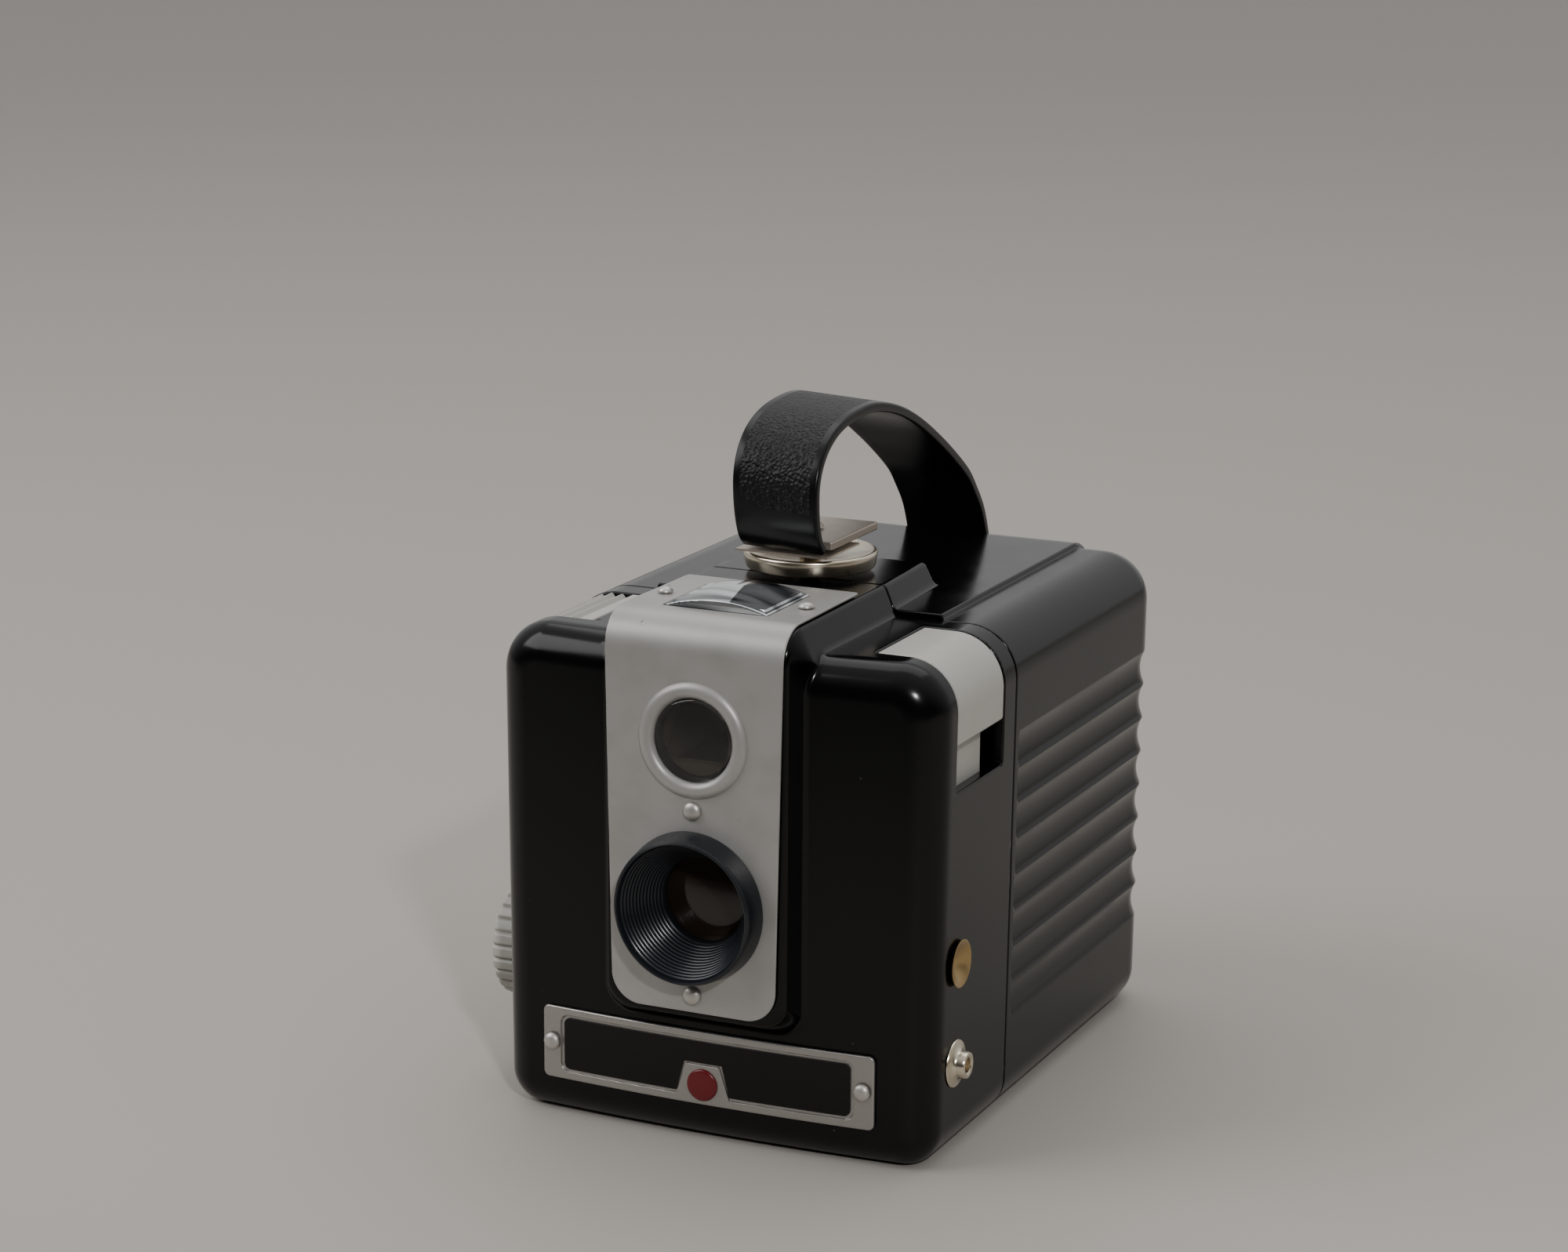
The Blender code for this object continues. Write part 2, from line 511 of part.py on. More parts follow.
for name, (depth, height), side in (("spool_spring_take_up", TAKE_UP, 1),
                                    ("spool_spring_supply", SUPPLY, -1),
                                    ("spool_pin_supply", SUPPLY, 1)):
    pin = [(0.0, 28.6), (1.9, 28.6), (2.3, 29.4), (2.3, 35.8), (5.0, 35.8), (5.0, 36.5), (0.0, 36.5)]
    place(name, turned([(r, side * x) for r, x in pin], "X", (0.0, depth, height), 20), NICKEL)

# ---- flash contacts on the right side with their strips inside
socket = [(0.0, 43.0), (2.6, 43.0), (2.6, 45.8), (3.5, 46.0), (4.6, 46.6), (4.6, 46.9), (4.2, 46.9),
          (1.6, 45.6), (1.6, 44.6), (0.0, 44.6)]
contact_x = -0.75
place("flash_socket", turned([(r, x + contact_x + 0.5) for r, x in socket], "X",
                             (0.0, CONTACT_DEPTH, SOCKET_HEIGHT), 28), NICKEL)
stud = [(0.0, 43.0), (2.6, 43.0), (2.6, 45.9), (4.4, 46.1), (4.6, 46.4), (3.1, 46.8), (2.7, 47.3),
        (2.6, 48.7), (2.3, 49.0), (1.6, 49.0),
        (1.4, 48.7), (1.4, 47.4), (0.0, 47.4)]
place("flash_pin", turned([(r, x + contact_x + 0.3) for r, x in stud], "X",
                          (0.0, CONTACT_DEPTH, STUD_HEIGHT), 28), NICKEL)
place("flash_strip_upper", block((39.6, 9.0, 35.4), (40.4, 12.0, 58.0)), STEEL)
place("flash_strip_lower", block((39.6, 9.0, 14.4), (40.4, 12.0, 33.0)), STEEL)

# ---- carrying strap's path
STRAP_HALF = 9.1
STRAP_THICK = 2.0
STRAP_CENTRE = [(34.6, 109.9), (33.1, 111.3), (32.0, 113.4), (31.2, 116.2), (30.8, 119.5), (30.9, 123.0),
                (32.2, 126.4), (34.8, 129.4), (38.6, 131.6),
                (43.4, 133.0), (49.6, 133.7), (57.0, 133.8), (64.8, 132.5), (72.7, 130.2), (80.7,
                                                                                            126.9), (89.0,
                                                                                                     122.7),
                (97.4, 117.9), (105.8, 112.4), (110.3, 108.0), (113.9, 103.8), (116.2, 99.6), (117.6,
                                                                                               95.6), (118.2, 91.0)]


def strap_section(k, grow=0.0):
    """Cross-section of the strap at one point of its path, thicker by grow all round."""
    y, z = STRAP_CENTRE[k]
    before = STRAP_CENTRE[max(k - 1, 0)]
    after = STRAP_CENTRE[min(k + 1, len(STRAP_CENTRE) - 1)]
    along = Vector((after[0] - before[0], after[1] - before[1])).normalized()
    out = Vector((along.y, -along.x))
    bevel = 0.4
    points = []
    for x_sign, o_sign, x_in, o_in in ((-1, -1, 0, bevel), (-1, -1, bevel, 0), (1, -1, bevel, 0),
                                       (1, -1, 0, bevel),
                                       (1, 1, 0, bevel), (1, 1, bevel, 0), (-1, 1, bevel, 0), (-1, 1, 0,
                                                                                               bevel)):
        reach = out * o_sign * (STRAP_THICK / 2.0 + grow - o_in)
        points.append((x_sign * (STRAP_HALF + grow - x_in), y + reach.x, z + reach.y))
    return points


# ---- rear cover: fluted shell with a raised piece for the latch
REAR_ROUND = 12.0
rear_stations = []
for a in (15, 30, 45, 60, 75, 90):
    rear_stations.append((BODY_DEPTH - REAR_ROUND + REAR_ROUND * math.sin(math.radians(a)),
                          REAR_ROUND * (1.0 - math.cos(math.radians(a)))))
START = SEAM + GAP
cover_rings = body_rings([(START, 0.0), (START + 1.9, 0.0)], flute=0.0, panel=1.1)
cover_rings += body_rings([(START + 2.1, 0.0), (BODY_DEPTH - REAR_ROUND, 0.0)], flute=FLUTE_DEPTH,
                          panel=1.1)
for k, station in enumerate(rear_stations):
    share = 1.0 - (k + 1) / len(rear_stations)
    cover_rings += body_rings([station], flute=FLUTE_DEPTH * share, panel=1.1 * share)
rear_cover = place("rear_cover", loft(cover_rings), BLACK, tapered=True)
ridge_back = [(START, RIDGE_TOP, 0.0, 1.0, RIDGE_HALF, RIDGE_FOOT, 4.6),
              (RIDGE_END, RIDGE_TOP, 0.0, 1.0, RIDGE_HALF - 0.9, RIDGE_FOOT - 2.6, 4.6)]
unite(rear_cover, loft(ridge_rings(ridge_back, 3.0)))
cavity = [(START - 10.0, WALL), (BODY_DEPTH - REAR_ROUND, WALL)]
cavity += [(y - WALL * math.sin(math.radians(15 * (k + 1))),
            inset + WALL * math.cos(math.radians(15 * (k + 1))))
           for k, (y, inset) in enumerate(rear_stations)]
subtract(rear_cover, loft(body_rings(cavity)))
subtract(rear_cover, block((-15.5, START + WALL, 90.0), (15.5, RIDGE_END - WALL, 100.4)))
subtract(rear_cover, block((-13.0, SEAM - 5.0, 96.9), (13.0, START + 6.0, 99.6)))
subtract(rear_cover, rod("Z", (0.0, LATCH_DEPTH, 0.0), 2.4, 95.0, 110.0, 24))
subtract(rear_cover, rod("Y", (0.0, 0.0, LENS_HEIGHT), 7.0, 118.0, 130.0, 32))
subtract(rear_cover, loft([strap_section(k, GAP) for k in range(17, len(STRAP_CENTRE))]))

place("window_ring", turned([(5.6, 120.4), (9.0, 120.4), (9.0, 121.3), (6.7, 121.3), (6.7, 122.9),
                             (5.6, 122.9)], "Y",
                            (0.0, 0.0, LENS_HEIGHT), 32), DULL_BLACK)
place("red_window", rod("Y", (0.0, 0.0, LENS_HEIGHT), 5.3, 121.4, 122.3, 28), RED)
pressure = place("pressure_plate", prism(rounded_box(31.0, LENS_HEIGHT - 30.0, LENS_HEIGHT + 30.0, 3.0),
                                         "Y", GATE + 0.6, GATE + 1.6),
                 DULL_BLACK)
subtract(pressure, rod("Y", (0.0, 0.0, LENS_HEIGHT), 6.0, 100.0, 115.0, 28))


def leaf_spring(name, height):
    """Bowed leaf between the cover's back wall and the pressure plate."""
    rings = []
    for k in range(13):
        x = -20.0 + 40.0 * k / 12.0
        y = GATE + 2.1 + 11.6 * (1.0 - (x / 20.0) ** 2)
        rings.append([(x, y, height - 3.0), (x, y + 0.5, height - 3.0), (x, y + 0.5, height + 3.0),
                      (x, y, height + 3.0)])
    place(name, loft(rings), STEEL)


leaf_spring("pressure_spring_upper", LENS_HEIGHT + 18.0)
leaf_spring("pressure_spring_lower", LENS_HEIGHT - 18.0)

# ---- latch: nickel disc on a post through the roof, with a hook that swings round the casing's stud
disc = [(2.4, 103.7), (12.2, 103.7), (12.9, 104.9), (13.3, 106.2), (13.1, 106.9), (12.4, 107.1),
        (11.6, 106.7), (10.4, 106.2), (2.4, 106.2)]
place("latch_disc", turned(disc, "Z", (0.0, LATCH_DEPTH, 0.0), 44), NICKEL,
      origin=(0.0, LATCH_DEPTH, 105.0))
post = [(0.0, 97.5), (3.4, 97.5), (3.4, 98.9), (2.1, 98.9), (2.1, 107.6), (0.0, 107.6)]
place("latch_post", turned(post, "Z", (0.0, LATCH_DEPTH, 0.0), 24), NICKEL,
      origin=(0.0, LATCH_DEPTH, 102.0))
hook_outer = [(x, LATCH_DEPTH + y) for x, y in arc((0.0, 0.0), 11.7, -40.0, 40.0, 10)]
hook_inner = [(x, LATCH_DEPTH + y) for x, y in arc((0.0, 0.0), 3.9, 40.0, 14.0, 2)]
hook_inner += [(x, LATCH_DEPTH + y) for x, y in arc((0.0, 0.0), 9.9, 14.0, -40.0, 7)]
place("latch_hook", prism(hook_outer + hook_inner, "Z", 97.7, 98.7), STEEL,
      origin=(0.0, LATCH_DEPTH, 98.0))
place("latch_stud", rod("Z", (0.0, 38.4, 0.0), 1.1, 97.2, 99.3, 16), STEEL)

# ---- clip that holds the strap's front end on the post, and the strap itself
clip = place("strap_clip", block((-9.2, 36.4, 109.3), (9.2, 58.6, 110.9)), NICKEL,
             origin=(0.0, 47.2, 110.0))
subtract(clip, rod("Z", (0.0, LATCH_DEPTH, 0.0), 1.5, 105.0, 115.0, 20))
place("clip_leaf", block((-10.4, 34.6, 107.9), (9.0, 50.0, 108.3)), NICKEL)
place("clip_rivet", turned([(0.0, 108.7), (1.2, 108.7), (1.2, 111.3), (2.6, 111.3), (2.0, 112.1),
                            (0.0, 112.4)], "Z",
                           (0.0, LATCH_DEPTH, 0.0), 24), NICKEL)

place("strap", loft([strap_section(k) for k in range(len(STRAP_CENTRE))]), BLACK)
place("strap_anchor", block((-8.6, 112.0, 89.2), (8.6, 119.2, 90.4)), STEEL)
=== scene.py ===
import math
import time

import bmesh
import bpy
import numpy as np
from mathutils import Matrix, Vector


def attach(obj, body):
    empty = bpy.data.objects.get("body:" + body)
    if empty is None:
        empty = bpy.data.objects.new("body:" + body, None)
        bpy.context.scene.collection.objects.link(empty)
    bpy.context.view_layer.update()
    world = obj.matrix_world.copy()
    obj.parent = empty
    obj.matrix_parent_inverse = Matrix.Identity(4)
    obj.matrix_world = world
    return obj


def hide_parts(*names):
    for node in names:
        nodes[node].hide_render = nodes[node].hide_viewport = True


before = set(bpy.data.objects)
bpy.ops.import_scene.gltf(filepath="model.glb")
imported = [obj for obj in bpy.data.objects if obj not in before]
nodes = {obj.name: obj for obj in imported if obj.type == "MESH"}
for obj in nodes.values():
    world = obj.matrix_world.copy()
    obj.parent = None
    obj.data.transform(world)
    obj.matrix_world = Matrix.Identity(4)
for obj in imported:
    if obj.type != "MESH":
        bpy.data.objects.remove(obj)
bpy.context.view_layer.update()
started = time.time()


def report(stage):
    print(f"{stage} at {time.time() - started:.1f} s")


# Shapes are worked out in millimetres with y = 0 at the name plate's back, and land in the frame in metres.
frameOrigin = np.array([0.0, 22.0, 0.0])


def toFrame(points):
    return (np.asarray(points, dtype=float) - frameOrigin) * 0.001


def roundMax(a, b, r):
    # keeps what is inside both fields, with the shared edge rounded to radius r
    return np.minimum(np.maximum(a, b), -r) + np.hypot(np.maximum(a + r, 0.0), np.maximum(b + r, 0.0))


def roundMin(a, b, r):
    # joins two fields with a fillet of radius r
    return np.maximum(np.minimum(a, b), r) - np.hypot(np.maximum(r - a, 0.0), np.maximum(r - b, 0.0))


def cutOut(a, b, r):
    return roundMax(a, -b, r)


def slab(x, y, z, low, high, r):
    # a block between two corners with rounded edges
    half = [(h - l) / 2.0 for l, h in zip(low, high)]
    mid = [(h + l) / 2.0 for l, h in zip(low, high)]
    q = [np.abs(v - m) - s + r for v, m, s in zip((x, y, z), mid, half)]
    outer = np.sqrt(sum(np.maximum(v, 0.0) ** 2 for v in q))
    return outer + np.minimum(np.maximum(np.maximum(q[0], q[1]), q[2]), 0.0) - r


def gridLines(low, high, coarse, fine, bands):
    # spacing is fine inside the bands and coarse between them
    marks = [low]
    while marks[-1] < high:
        here = marks[-1]
        step = fine if any(a - 1e-6 <= here < b for a, b in bands) else coarse
        ahead = [a for a, b in bands if here < a - 1e-6 < here + step]
        marks.append(min(ahead) if ahead and step == coarse else here + step)
    return np.array(marks)


def fieldSlope(field, points, reach=0.02):
    slope = np.empty_like(points)
    for axis in range(3):
        step = np.zeros(3)
        step[axis] = reach
        slope[:, axis] = (field(*(points + step).T) - field(*(points - step).T)) / (2.0 * reach)
    return slope


def mould(name, field, xs, ys, zs):
    # skins the zero surface of a field: one point in each grid cell it crosses, pulled onto the surface
    f = field(*np.meshgrid(xs, ys, zs, indexing="ij"))
    inside = f < 0.0
    corners = [(a, b, c) for a in (0, 1) for b in (0, 1) for c in (0, 1)]
    size = tuple(n - 1 for n in f.shape)
    spans = [tuple(slice(k, k + n) for k, n in zip(corner, size)) for corner in corners]
    count = sum(inside[span].astype(np.int8) for span in spans)
    cells = np.argwhere((count > 0) & (count < 8))
    lines = (xs, ys, zs)
    total = np.zeros((len(cells), 3))
    hits = np.zeros(len(cells))
    for axis in range(3):
        for corner in corners:
            if corner[axis]:
                continue
            other = list(corner)
            other[axis] = 1
            p, q = cells + corner, cells + other
            fp, fq = f[tuple(p.T)], f[tuple(q.T)]
            crossed = (fp < 0.0) != (fq < 0.0)
            share = np.where(crossed, fp / np.where(crossed, fp - fq, 1.0), 0.0)[:, None]
            start = np.stack([lines[k][p[:, k]] for k in range(3)], 1)
            end = np.stack([lines[k][q[:, k]] for k in range(3)], 1)
            total += np.where(crossed[:, None], start + (end - start) * share, 0.0)
            hits += crossed
    points = total / hits[:, None]
    room = np.stack([np.diff(lines[k])[cells[:, k]] for k in range(3)], 1)
    for turn in range(5):
        slope = fieldSlope(field, points)
        push = slope * (field(*points.T) / np.maximum((slope ** 2).sum(1), 0.05))[:, None]
        points -= np.clip(push, -0.7 * room, 0.7 * room)
    number = np.full(size, -1, dtype=np.int64)
    number[tuple(cells.T)] = np.arange(len(cells))
    faces = []
    for axis in range(3):
        u, v = [(1, 2), (2, 0), (0, 1)][axis]
        low = [slice(None)] * 3
        high = [slice(None)] * 3
        low[axis], high[axis] = slice(None, -1), slice(1, None)
        for k in (u, v):
            low[k] = high[k] = slice(1, -1)
        a, b = inside[tuple(low)], inside[tuple(high)]
        at = np.argwhere(a != b)
        leaving = a[tuple(at.T)]
        base = at.copy()
        base[:, u] += 1
        base[:, v] += 1
        ring = []
        for du, dv in ((-1, -1), (0, -1), (0, 0), (-1, 0)):
            cell = base.copy()
            cell[:, u] += du
            cell[:, v] += dv
            ring.append(number[tuple(cell.T)])
        quad = np.stack(ring, 1)
        quad[~leaving] = quad[~leaving][:, ::-1]
        faces.append(quad)
    faces = np.concatenate(faces)
    normals = fieldSlope(field, points)
    normals /= np.maximum(np.linalg.norm(normals, axis=1), 1e-9)[:, None]
    return makePiece(name, points, faces, normals)


def makePiece(name, points, faces, normals=None, sharp=None):
    mesh = bpy.data.meshes.new(name)
    mesh.from_pydata(toFrame(points).tolist(), [], faces.tolist() if hasattr(faces, "tolist") else faces)
    mesh.update()
    mesh.shade_smooth()
    if normals is not None:
        mesh.normals_split_custom_set_from_vertices(np.asarray(normals).tolist())
    elif sharp:
        mesh.set_sharp_from_angle(angle=math.radians(sharp))
    piece = bpy.data.objects.new(name, mesh)
    bpy.context.scene.collection.objects.link(piece)
    return piece


def lathe(name, profile, centre, axis, steps=96, sharp=35.0):
    # turns a closed (radius, height) outline about an axis; outlines run so that faces point out
    u, v, w = {"X": ((0, 1, 0), (0, 0, 1), (1, 0, 0)), "Y": ((0, 0, 1), (1, 0, 0), (0, 1, 0)),
               "Z": ((1, 0, 0), (0, 1, 0), (0, 0, 1))}[axis]
    u, v, w, centre = [np.array(p, dtype=float) for p in (u, v, w, centre)]
    turns = np.arange(steps) * 2.0 * math.pi / steps
    points, rows = [], []
    for radius, height in profile:
        if radius == 0.0:
            rows.append([len(points)] * steps)
            points.append(centre + w * height)
        else:
            rows.append(list(range(len(points), len(points) + steps)))
            points += [centre + (u * math.cos(t) + v * math.sin(t)) * radius + w * height for t in turns]
    faces = []
    for low, high in zip(rows, rows[1:] + rows[:1]):
        for k in range(steps):
            ring = []
            for index in (low[k], low[(k + 1) % steps], high[(k + 1) % steps], high[k]):
                if index not in ring:
                    ring.append(index)
            if len(ring) > 2:
                faces.append(ring)
    piece = makePiece(name, points, faces, sharp=sharp)
    tidyNormals(piece, sharp)
    return piece


def tidyNormals(piece, sharp):
    shape = bmesh.new()
    shape.from_mesh(piece.data)
    bmesh.ops.recalc_face_normals(shape, faces=shape.faces)
    shape.to_mesh(piece.data)
    shape.free()
    piece.data.shade_smooth()
    piece.data.set_sharp_from_angle(angle=math.radians(sharp))


def skinRings(name, rings, sharp=40.0):
    count = len(rings[0])
    points = [p for ring in rings for p in ring]
    faces = []
    for r in range(len(rings) - 1):
        for k in range(count):
            a, b = r * count + k, r * count + (k + 1) % count
            faces.append((a, b, b + count, a + count))
    faces.append(tuple(range(count)))
    faces.append(tuple(range((len(rings) - 1) * count, len(rings) * count)))
    piece = makePiece(name, points, faces, sharp=sharp)
    tidyNormals(piece, sharp)
    return piece


def fromHex(text):
    parts = [int(text[k:k + 2], 16) / 255.0 for k in (1, 3, 5)]
    return tuple(c / 12.92 if c <= 0.04045 else ((c + 0.055) / 1.055) ** 2.4 for c in parts) + (1.0,)


def addNode(tree, kind, settings=None, links=None):
    # settings by socket name or node property, links as {input: output socket}
    node = tree.nodes.new(kind)
    for key, value in (settings or {}).items():
        if key in node.inputs:
            node.inputs[key].default_value = value
        else:
            setattr(node, key, value)
    for key, source in (links or {}).items():
        tree.links.new(source, node.inputs[key])
    return node


def newFinish(name, base, roughness, **sockets):
    finish = bpy.data.materials.new(name)
    finish.use_nodes = True
    shader = finish.node_tree.nodes["Principled BSDF"]
    shader.inputs["Base Color"].default_value = fromHex(base)
    shader.inputs["Roughness"].default_value = roughness
    for key, value in sockets.items():
        shader.inputs[key].default_value = value
    return finish, finish.node_tree, shader


def blackPhenolic():
    # Polished phenolic moulding: deep black with a thin gloss, faint haze from handling and dust specks.
    look = {"base": "#060607", "roughness": 0.14, "hazeSize": 22.0, "speckSize": 0.55,
            "hazeRoughness": 0.21, "speck": "#5a5852"}
    finish, tree, shader = newFinish("phenolic polished black", look["base"], look["roughness"])
    shader.inputs["IOR"].default_value = 1.5
    shader.inputs["Specular IOR Level"].default_value = 0.26
    where = addNode(tree, "ShaderNodeTexCoord")
    haze = addNode(tree, "ShaderNodeTexNoise",
                   {"Scale": 1000.0 / look["hazeSize"], "Detail": 5.0, "Roughness": 0.6},
                   {"Vector": where.outputs["Object"]})
    spread = addNode(tree, "ShaderNodeMapRange", {"From Min": 0.42, "From Max": 0.7},
                     {"Value": haze.outputs["Fac"]})
    spread.inputs["To Min"].default_value = look["roughness"]
    spread.inputs["To Max"].default_value = look["hazeRoughness"]
    tree.links.new(spread.outputs["Result"], shader.inputs["Roughness"])
    speck = addNode(tree, "ShaderNodeTexVoronoi", {"Scale": 1000.0 / (look["speckSize"] * 9.0)},
                    {"Vector": where.outputs["Object"]})
    dot = addNode(tree, "ShaderNodeMapRange", {"From Min": 0.035, "From Max": 0.02},
                  {"Value": speck.outputs["Distance"]})
    thin = addNode(tree, "ShaderNodeTexNoise", {"Scale": 60.0}, {"Vector": where.outputs["Object"]})
    some = addNode(tree, "ShaderNodeMapRange", {"From Min": 0.52, "From Max": 0.6},
                   {"Value": thin.outputs["Fac"]})
    both = addNode(tree, "ShaderNodeMath", {"operation": "MULTIPLY"})
    tree.links.new(dot.outputs["Result"], both.inputs[0])
    tree.links.new(some.outputs["Result"], both.inputs[1])
    tint = addNode(tree, "ShaderNodeMix", {"data_type": "RGBA"})
    tint.inputs["A"].default_value = fromHex(look["base"])
    tint.inputs["B"].default_value = fromHex(look["speck"])
    tree.links.new(both.outputs[0], tint.inputs["Factor"])
    tree.links.new(tint.outputs["Result"], shader.inputs["Base Color"])
    return finish


def silverPaint():
    # Silver paint on pressed steel: fine flake with a soft sheen, darker chips where it has been knocked.
    look = {"base": "#a9a7a4", "dark": "#a19f9b", "roughness": 0.4, "flake": 0.35, "stain": 9.0,
            "nickSpread": 8.5, "nick": "#5c5650"}
    finish, tree, shader = newFinish("silver paint sprayed", look["base"], look["roughness"],
                                     Metallic=0.4)
    where = addNode(tree, "ShaderNodeTexCoord")
    along = addNode(tree, "ShaderNodeVectorMath", {"operation": "DOT_PRODUCT"},
                    {"Vector": where.outputs["Object"]})
    along.inputs[1].default_value = (0.0, -1.0, 1.0)
    across = addNode(tree, "ShaderNodeSeparateXYZ", links={"Vector": where.outputs["Object"]})
    unrolled = addNode(tree, "ShaderNodeCombineXYZ",
                       links={"X": across.outputs["X"], "Y": along.outputs["Value"]})
    nick = addNode(tree, "ShaderNodeTexVoronoi", {"Scale": 1000.0 / look["nickSpread"]},
                   {"Vector": unrolled.outputs["Vector"]})
    wander = addNode(tree, "ShaderNodeTexNoise", {"Scale": 1000.0 / 1.1, "Detail": 3.0},
                     {"Vector": where.outputs["Object"]})
    ragged = addNode(tree, "ShaderNodeMath", {"operation": "MULTIPLY_ADD"})
    tree.links.new(wander.outputs["Fac"], ragged.inputs[0])
    ragged.inputs[1].default_value = 0.12
    tree.links.new(nick.outputs["Distance"], ragged.inputs[2])
    nicked = addNode(tree, "ShaderNodeMapRange", {"From Min": 0.095, "From Max": 0.08},
                     {"Value": ragged.outputs[0]})
    flake = addNode(tree, "ShaderNodeTexNoise", {"Scale": 1000.0 / look["flake"], "Detail": 2.0},
                    {"Vector": where.outputs["Object"]})
    stain = addNode(tree, "ShaderNodeTexNoise", {"Scale": 1000.0 / look["stain"], "Detail": 4.0},
                    {"Vector": where.outputs["Object"]})
    blend = addNode(tree, "ShaderNodeMix", {"data_type": "RGBA"})
    blend.inputs["A"].default_value = fromHex(look["dark"])
    blend.inputs["B"].default_value = fromHex(look["base"])
    level = addNode(tree, "ShaderNodeMapRange", {"From Min": 0.3, "From Max": 0.55},
                    {"Value": stain.outputs["Fac"]})
    tree.links.new(level.outputs["Result"], blend.inputs["Factor"])
    worn = addNode(tree, "ShaderNodeMix", {"data_type": "RGBA"},
                   {"Factor": nicked.outputs["Result"], "A": blend.outputs["Result"]})
    worn.inputs["B"].default_value = fromHex(look["nick"])
    tree.links.new(worn.outputs["Result"], shader.inputs["Base Color"])
    bump = addNode(tree, "ShaderNodeBump", {"Strength": 0.12, "Distance": 0.0001},
                   {"Height": flake.outputs["Fac"]})
    tree.links.new(bump.outputs["Normal"], shader.inputs["Normal"])
    return finish


def nickelPlate():
    # Nickel plate on steel: a warm grey mirror, slightly clouded by handling.
    look = {"base": "#e0d6c2", "tarnish": "#c2b398", "cloud": 9.0, "roughness": 0.2, "dulled": 0.28}
    finish, tree, shader = newFinish("nickel plated steel", look["base"], look["roughness"], Metallic=1.0)
    where = addNode(tree, "ShaderNodeTexCoord")
    cloud = addNode(tree, "ShaderNodeTexNoise", {"Scale": 1000.0 / look["cloud"], "Detail": 3.0},
                    {"Vector": where.outputs["Object"]})
    level = addNode(tree, "ShaderNodeMapRange", {"From Min": 0.5, "From Max": 0.75},
                    {"Value": cloud.outputs["Fac"]})
    blend = addNode(tree, "ShaderNodeMix", {"data_type": "RGBA"}, {"Factor": level.outputs["Result"]})
    blend.inputs["A"].default_value = fromHex(look["base"])
    blend.inputs["B"].default_value = fromHex(look["tarnish"])
    tree.links.new(blend.outputs["Result"], shader.inputs["Base Color"])
    rough = addNode(tree, "ShaderNodeMapRange",
                    {"From Min": 0.35, "From Max": 0.7, "To Min": look["roughness"],
                     "To Max": look["dulled"]}, {"Value": cloud.outputs["Fac"]})
    tree.links.new(rough.outputs["Result"], shader.inputs["Roughness"])
    return finish


def greyMoulding():
    # Light grey moulded urea plastic: satin skin, slightly yellowed, with faint mould waviness.
    look = {"base": "#b4b2ab", "low": "#aba9a1", "high": "#bab8b2", "roughness": 0.4, "wave": 14.0}
    finish, tree, shader = newFinish("urea plastic moulded grey", look["base"], look["roughness"])
    shader.inputs["Subsurface Weight"].default_value = 0.04
    shader.inputs["Subsurface Scale"].default_value = 0.001
    where = addNode(tree, "ShaderNodeTexCoord")
    wave = addNode(tree, "ShaderNodeTexNoise", {"Scale": 1000.0 / look["wave"], "Detail": 3.0},
                   {"Vector": where.outputs["Object"]})
    tone = addNode(tree, "ShaderNodeMix", {"data_type": "RGBA"}, {"Factor": wave.outputs["Fac"]})
    tone.inputs["A"].default_value = fromHex(look["low"])
    tone.inputs["B"].default_value = fromHex(look["high"])
    tree.links.new(tone.outputs["Result"], shader.inputs["Base Color"])
    return finish


def plainFinish(name, base, roughness, **sockets):
    finish, tree, shader = newFinish(name, base, roughness, **sockets)
    where = addNode(tree, "ShaderNodeTexCoord")
    grain = addNode(tree, "ShaderNodeTexNoise", {"Scale": 1000.0 / 3.0, "Detail": 3.0},
                    {"Vector": where.outputs["Object"]})
    rough = addNode(tree, "ShaderNodeMapRange",
                    {"To Min": max(roughness - 0.08, 0.02), "To Max": roughness + 0.1},
                    {"Value": grain.outputs["Fac"]})
    tree.links.new(rough.outputs["Result"], shader.inputs["Roughness"])
    return finish


def clearGlass(name, base, roughness=0.02):
    finish, tree, shader = newFinish(name, base, roughness)
    shader.inputs["Transmission Weight"].default_value = 1.0
    shader.inputs["IOR"].default_value = 1.5
    return finish


def finderPlastic():
    # Moulded clear lens over the finder's mirror: its dome shows bright sky with a few dark bent streaks,
    # which are a painted reflection of the mirror's view laid into the base colour.
    look = {"pale": "#f4f7f9", "dark": "#30363e", "paintedReflection": 19.0, "roughness": 0.05, "clear": 0.6,
            "mirrored": 0.7}
    finish = clearGlass("acrylic clear painted reflection", look["pale"], look["roughness"])
    tree = finish.node_tree
    shader = tree.nodes["Principled BSDF"]
    shader.inputs["Transmission Weight"].default_value = look["clear"]
    shader.inputs["Metallic"].default_value = look["mirrored"]
    where = addNode(tree, "ShaderNodeTexCoord")
    stretch = addNode(tree, "ShaderNodeMapping", {"Rotation": (0.0, 0.0, 0.5), "Scale": (0.55, 1.5, 1.0)},
                      {"Vector": where.outputs["Object"]})
    # painted reflection: dark streaks in the base colour stand in for what the finder mirror shows
    paintedReflection = addNode(tree, "ShaderNodeTexNoise",
                     {"Scale": 1000.0 / look["paintedReflection"], "Detail": 0.0, "Distortion": 2.2},
                     {"Vector": stretch.outputs["Vector"]})
    level = addNode(tree, "ShaderNodeMapRange", {"From Min": 0.32, "From Max": 0.52},
                    {"Value": paintedReflection.outputs["Fac"]})
    tone = addNode(tree, "ShaderNodeMix", {"data_type": "RGBA"}, {"Factor": level.outputs["Result"]})
    tone.inputs["A"].default_value = fromHex(look["dark"])
    tone.inputs["B"].default_value = fromHex(look["pale"])
    tree.links.new(tone.outputs["Result"], shader.inputs["Base Color"])
    return finish


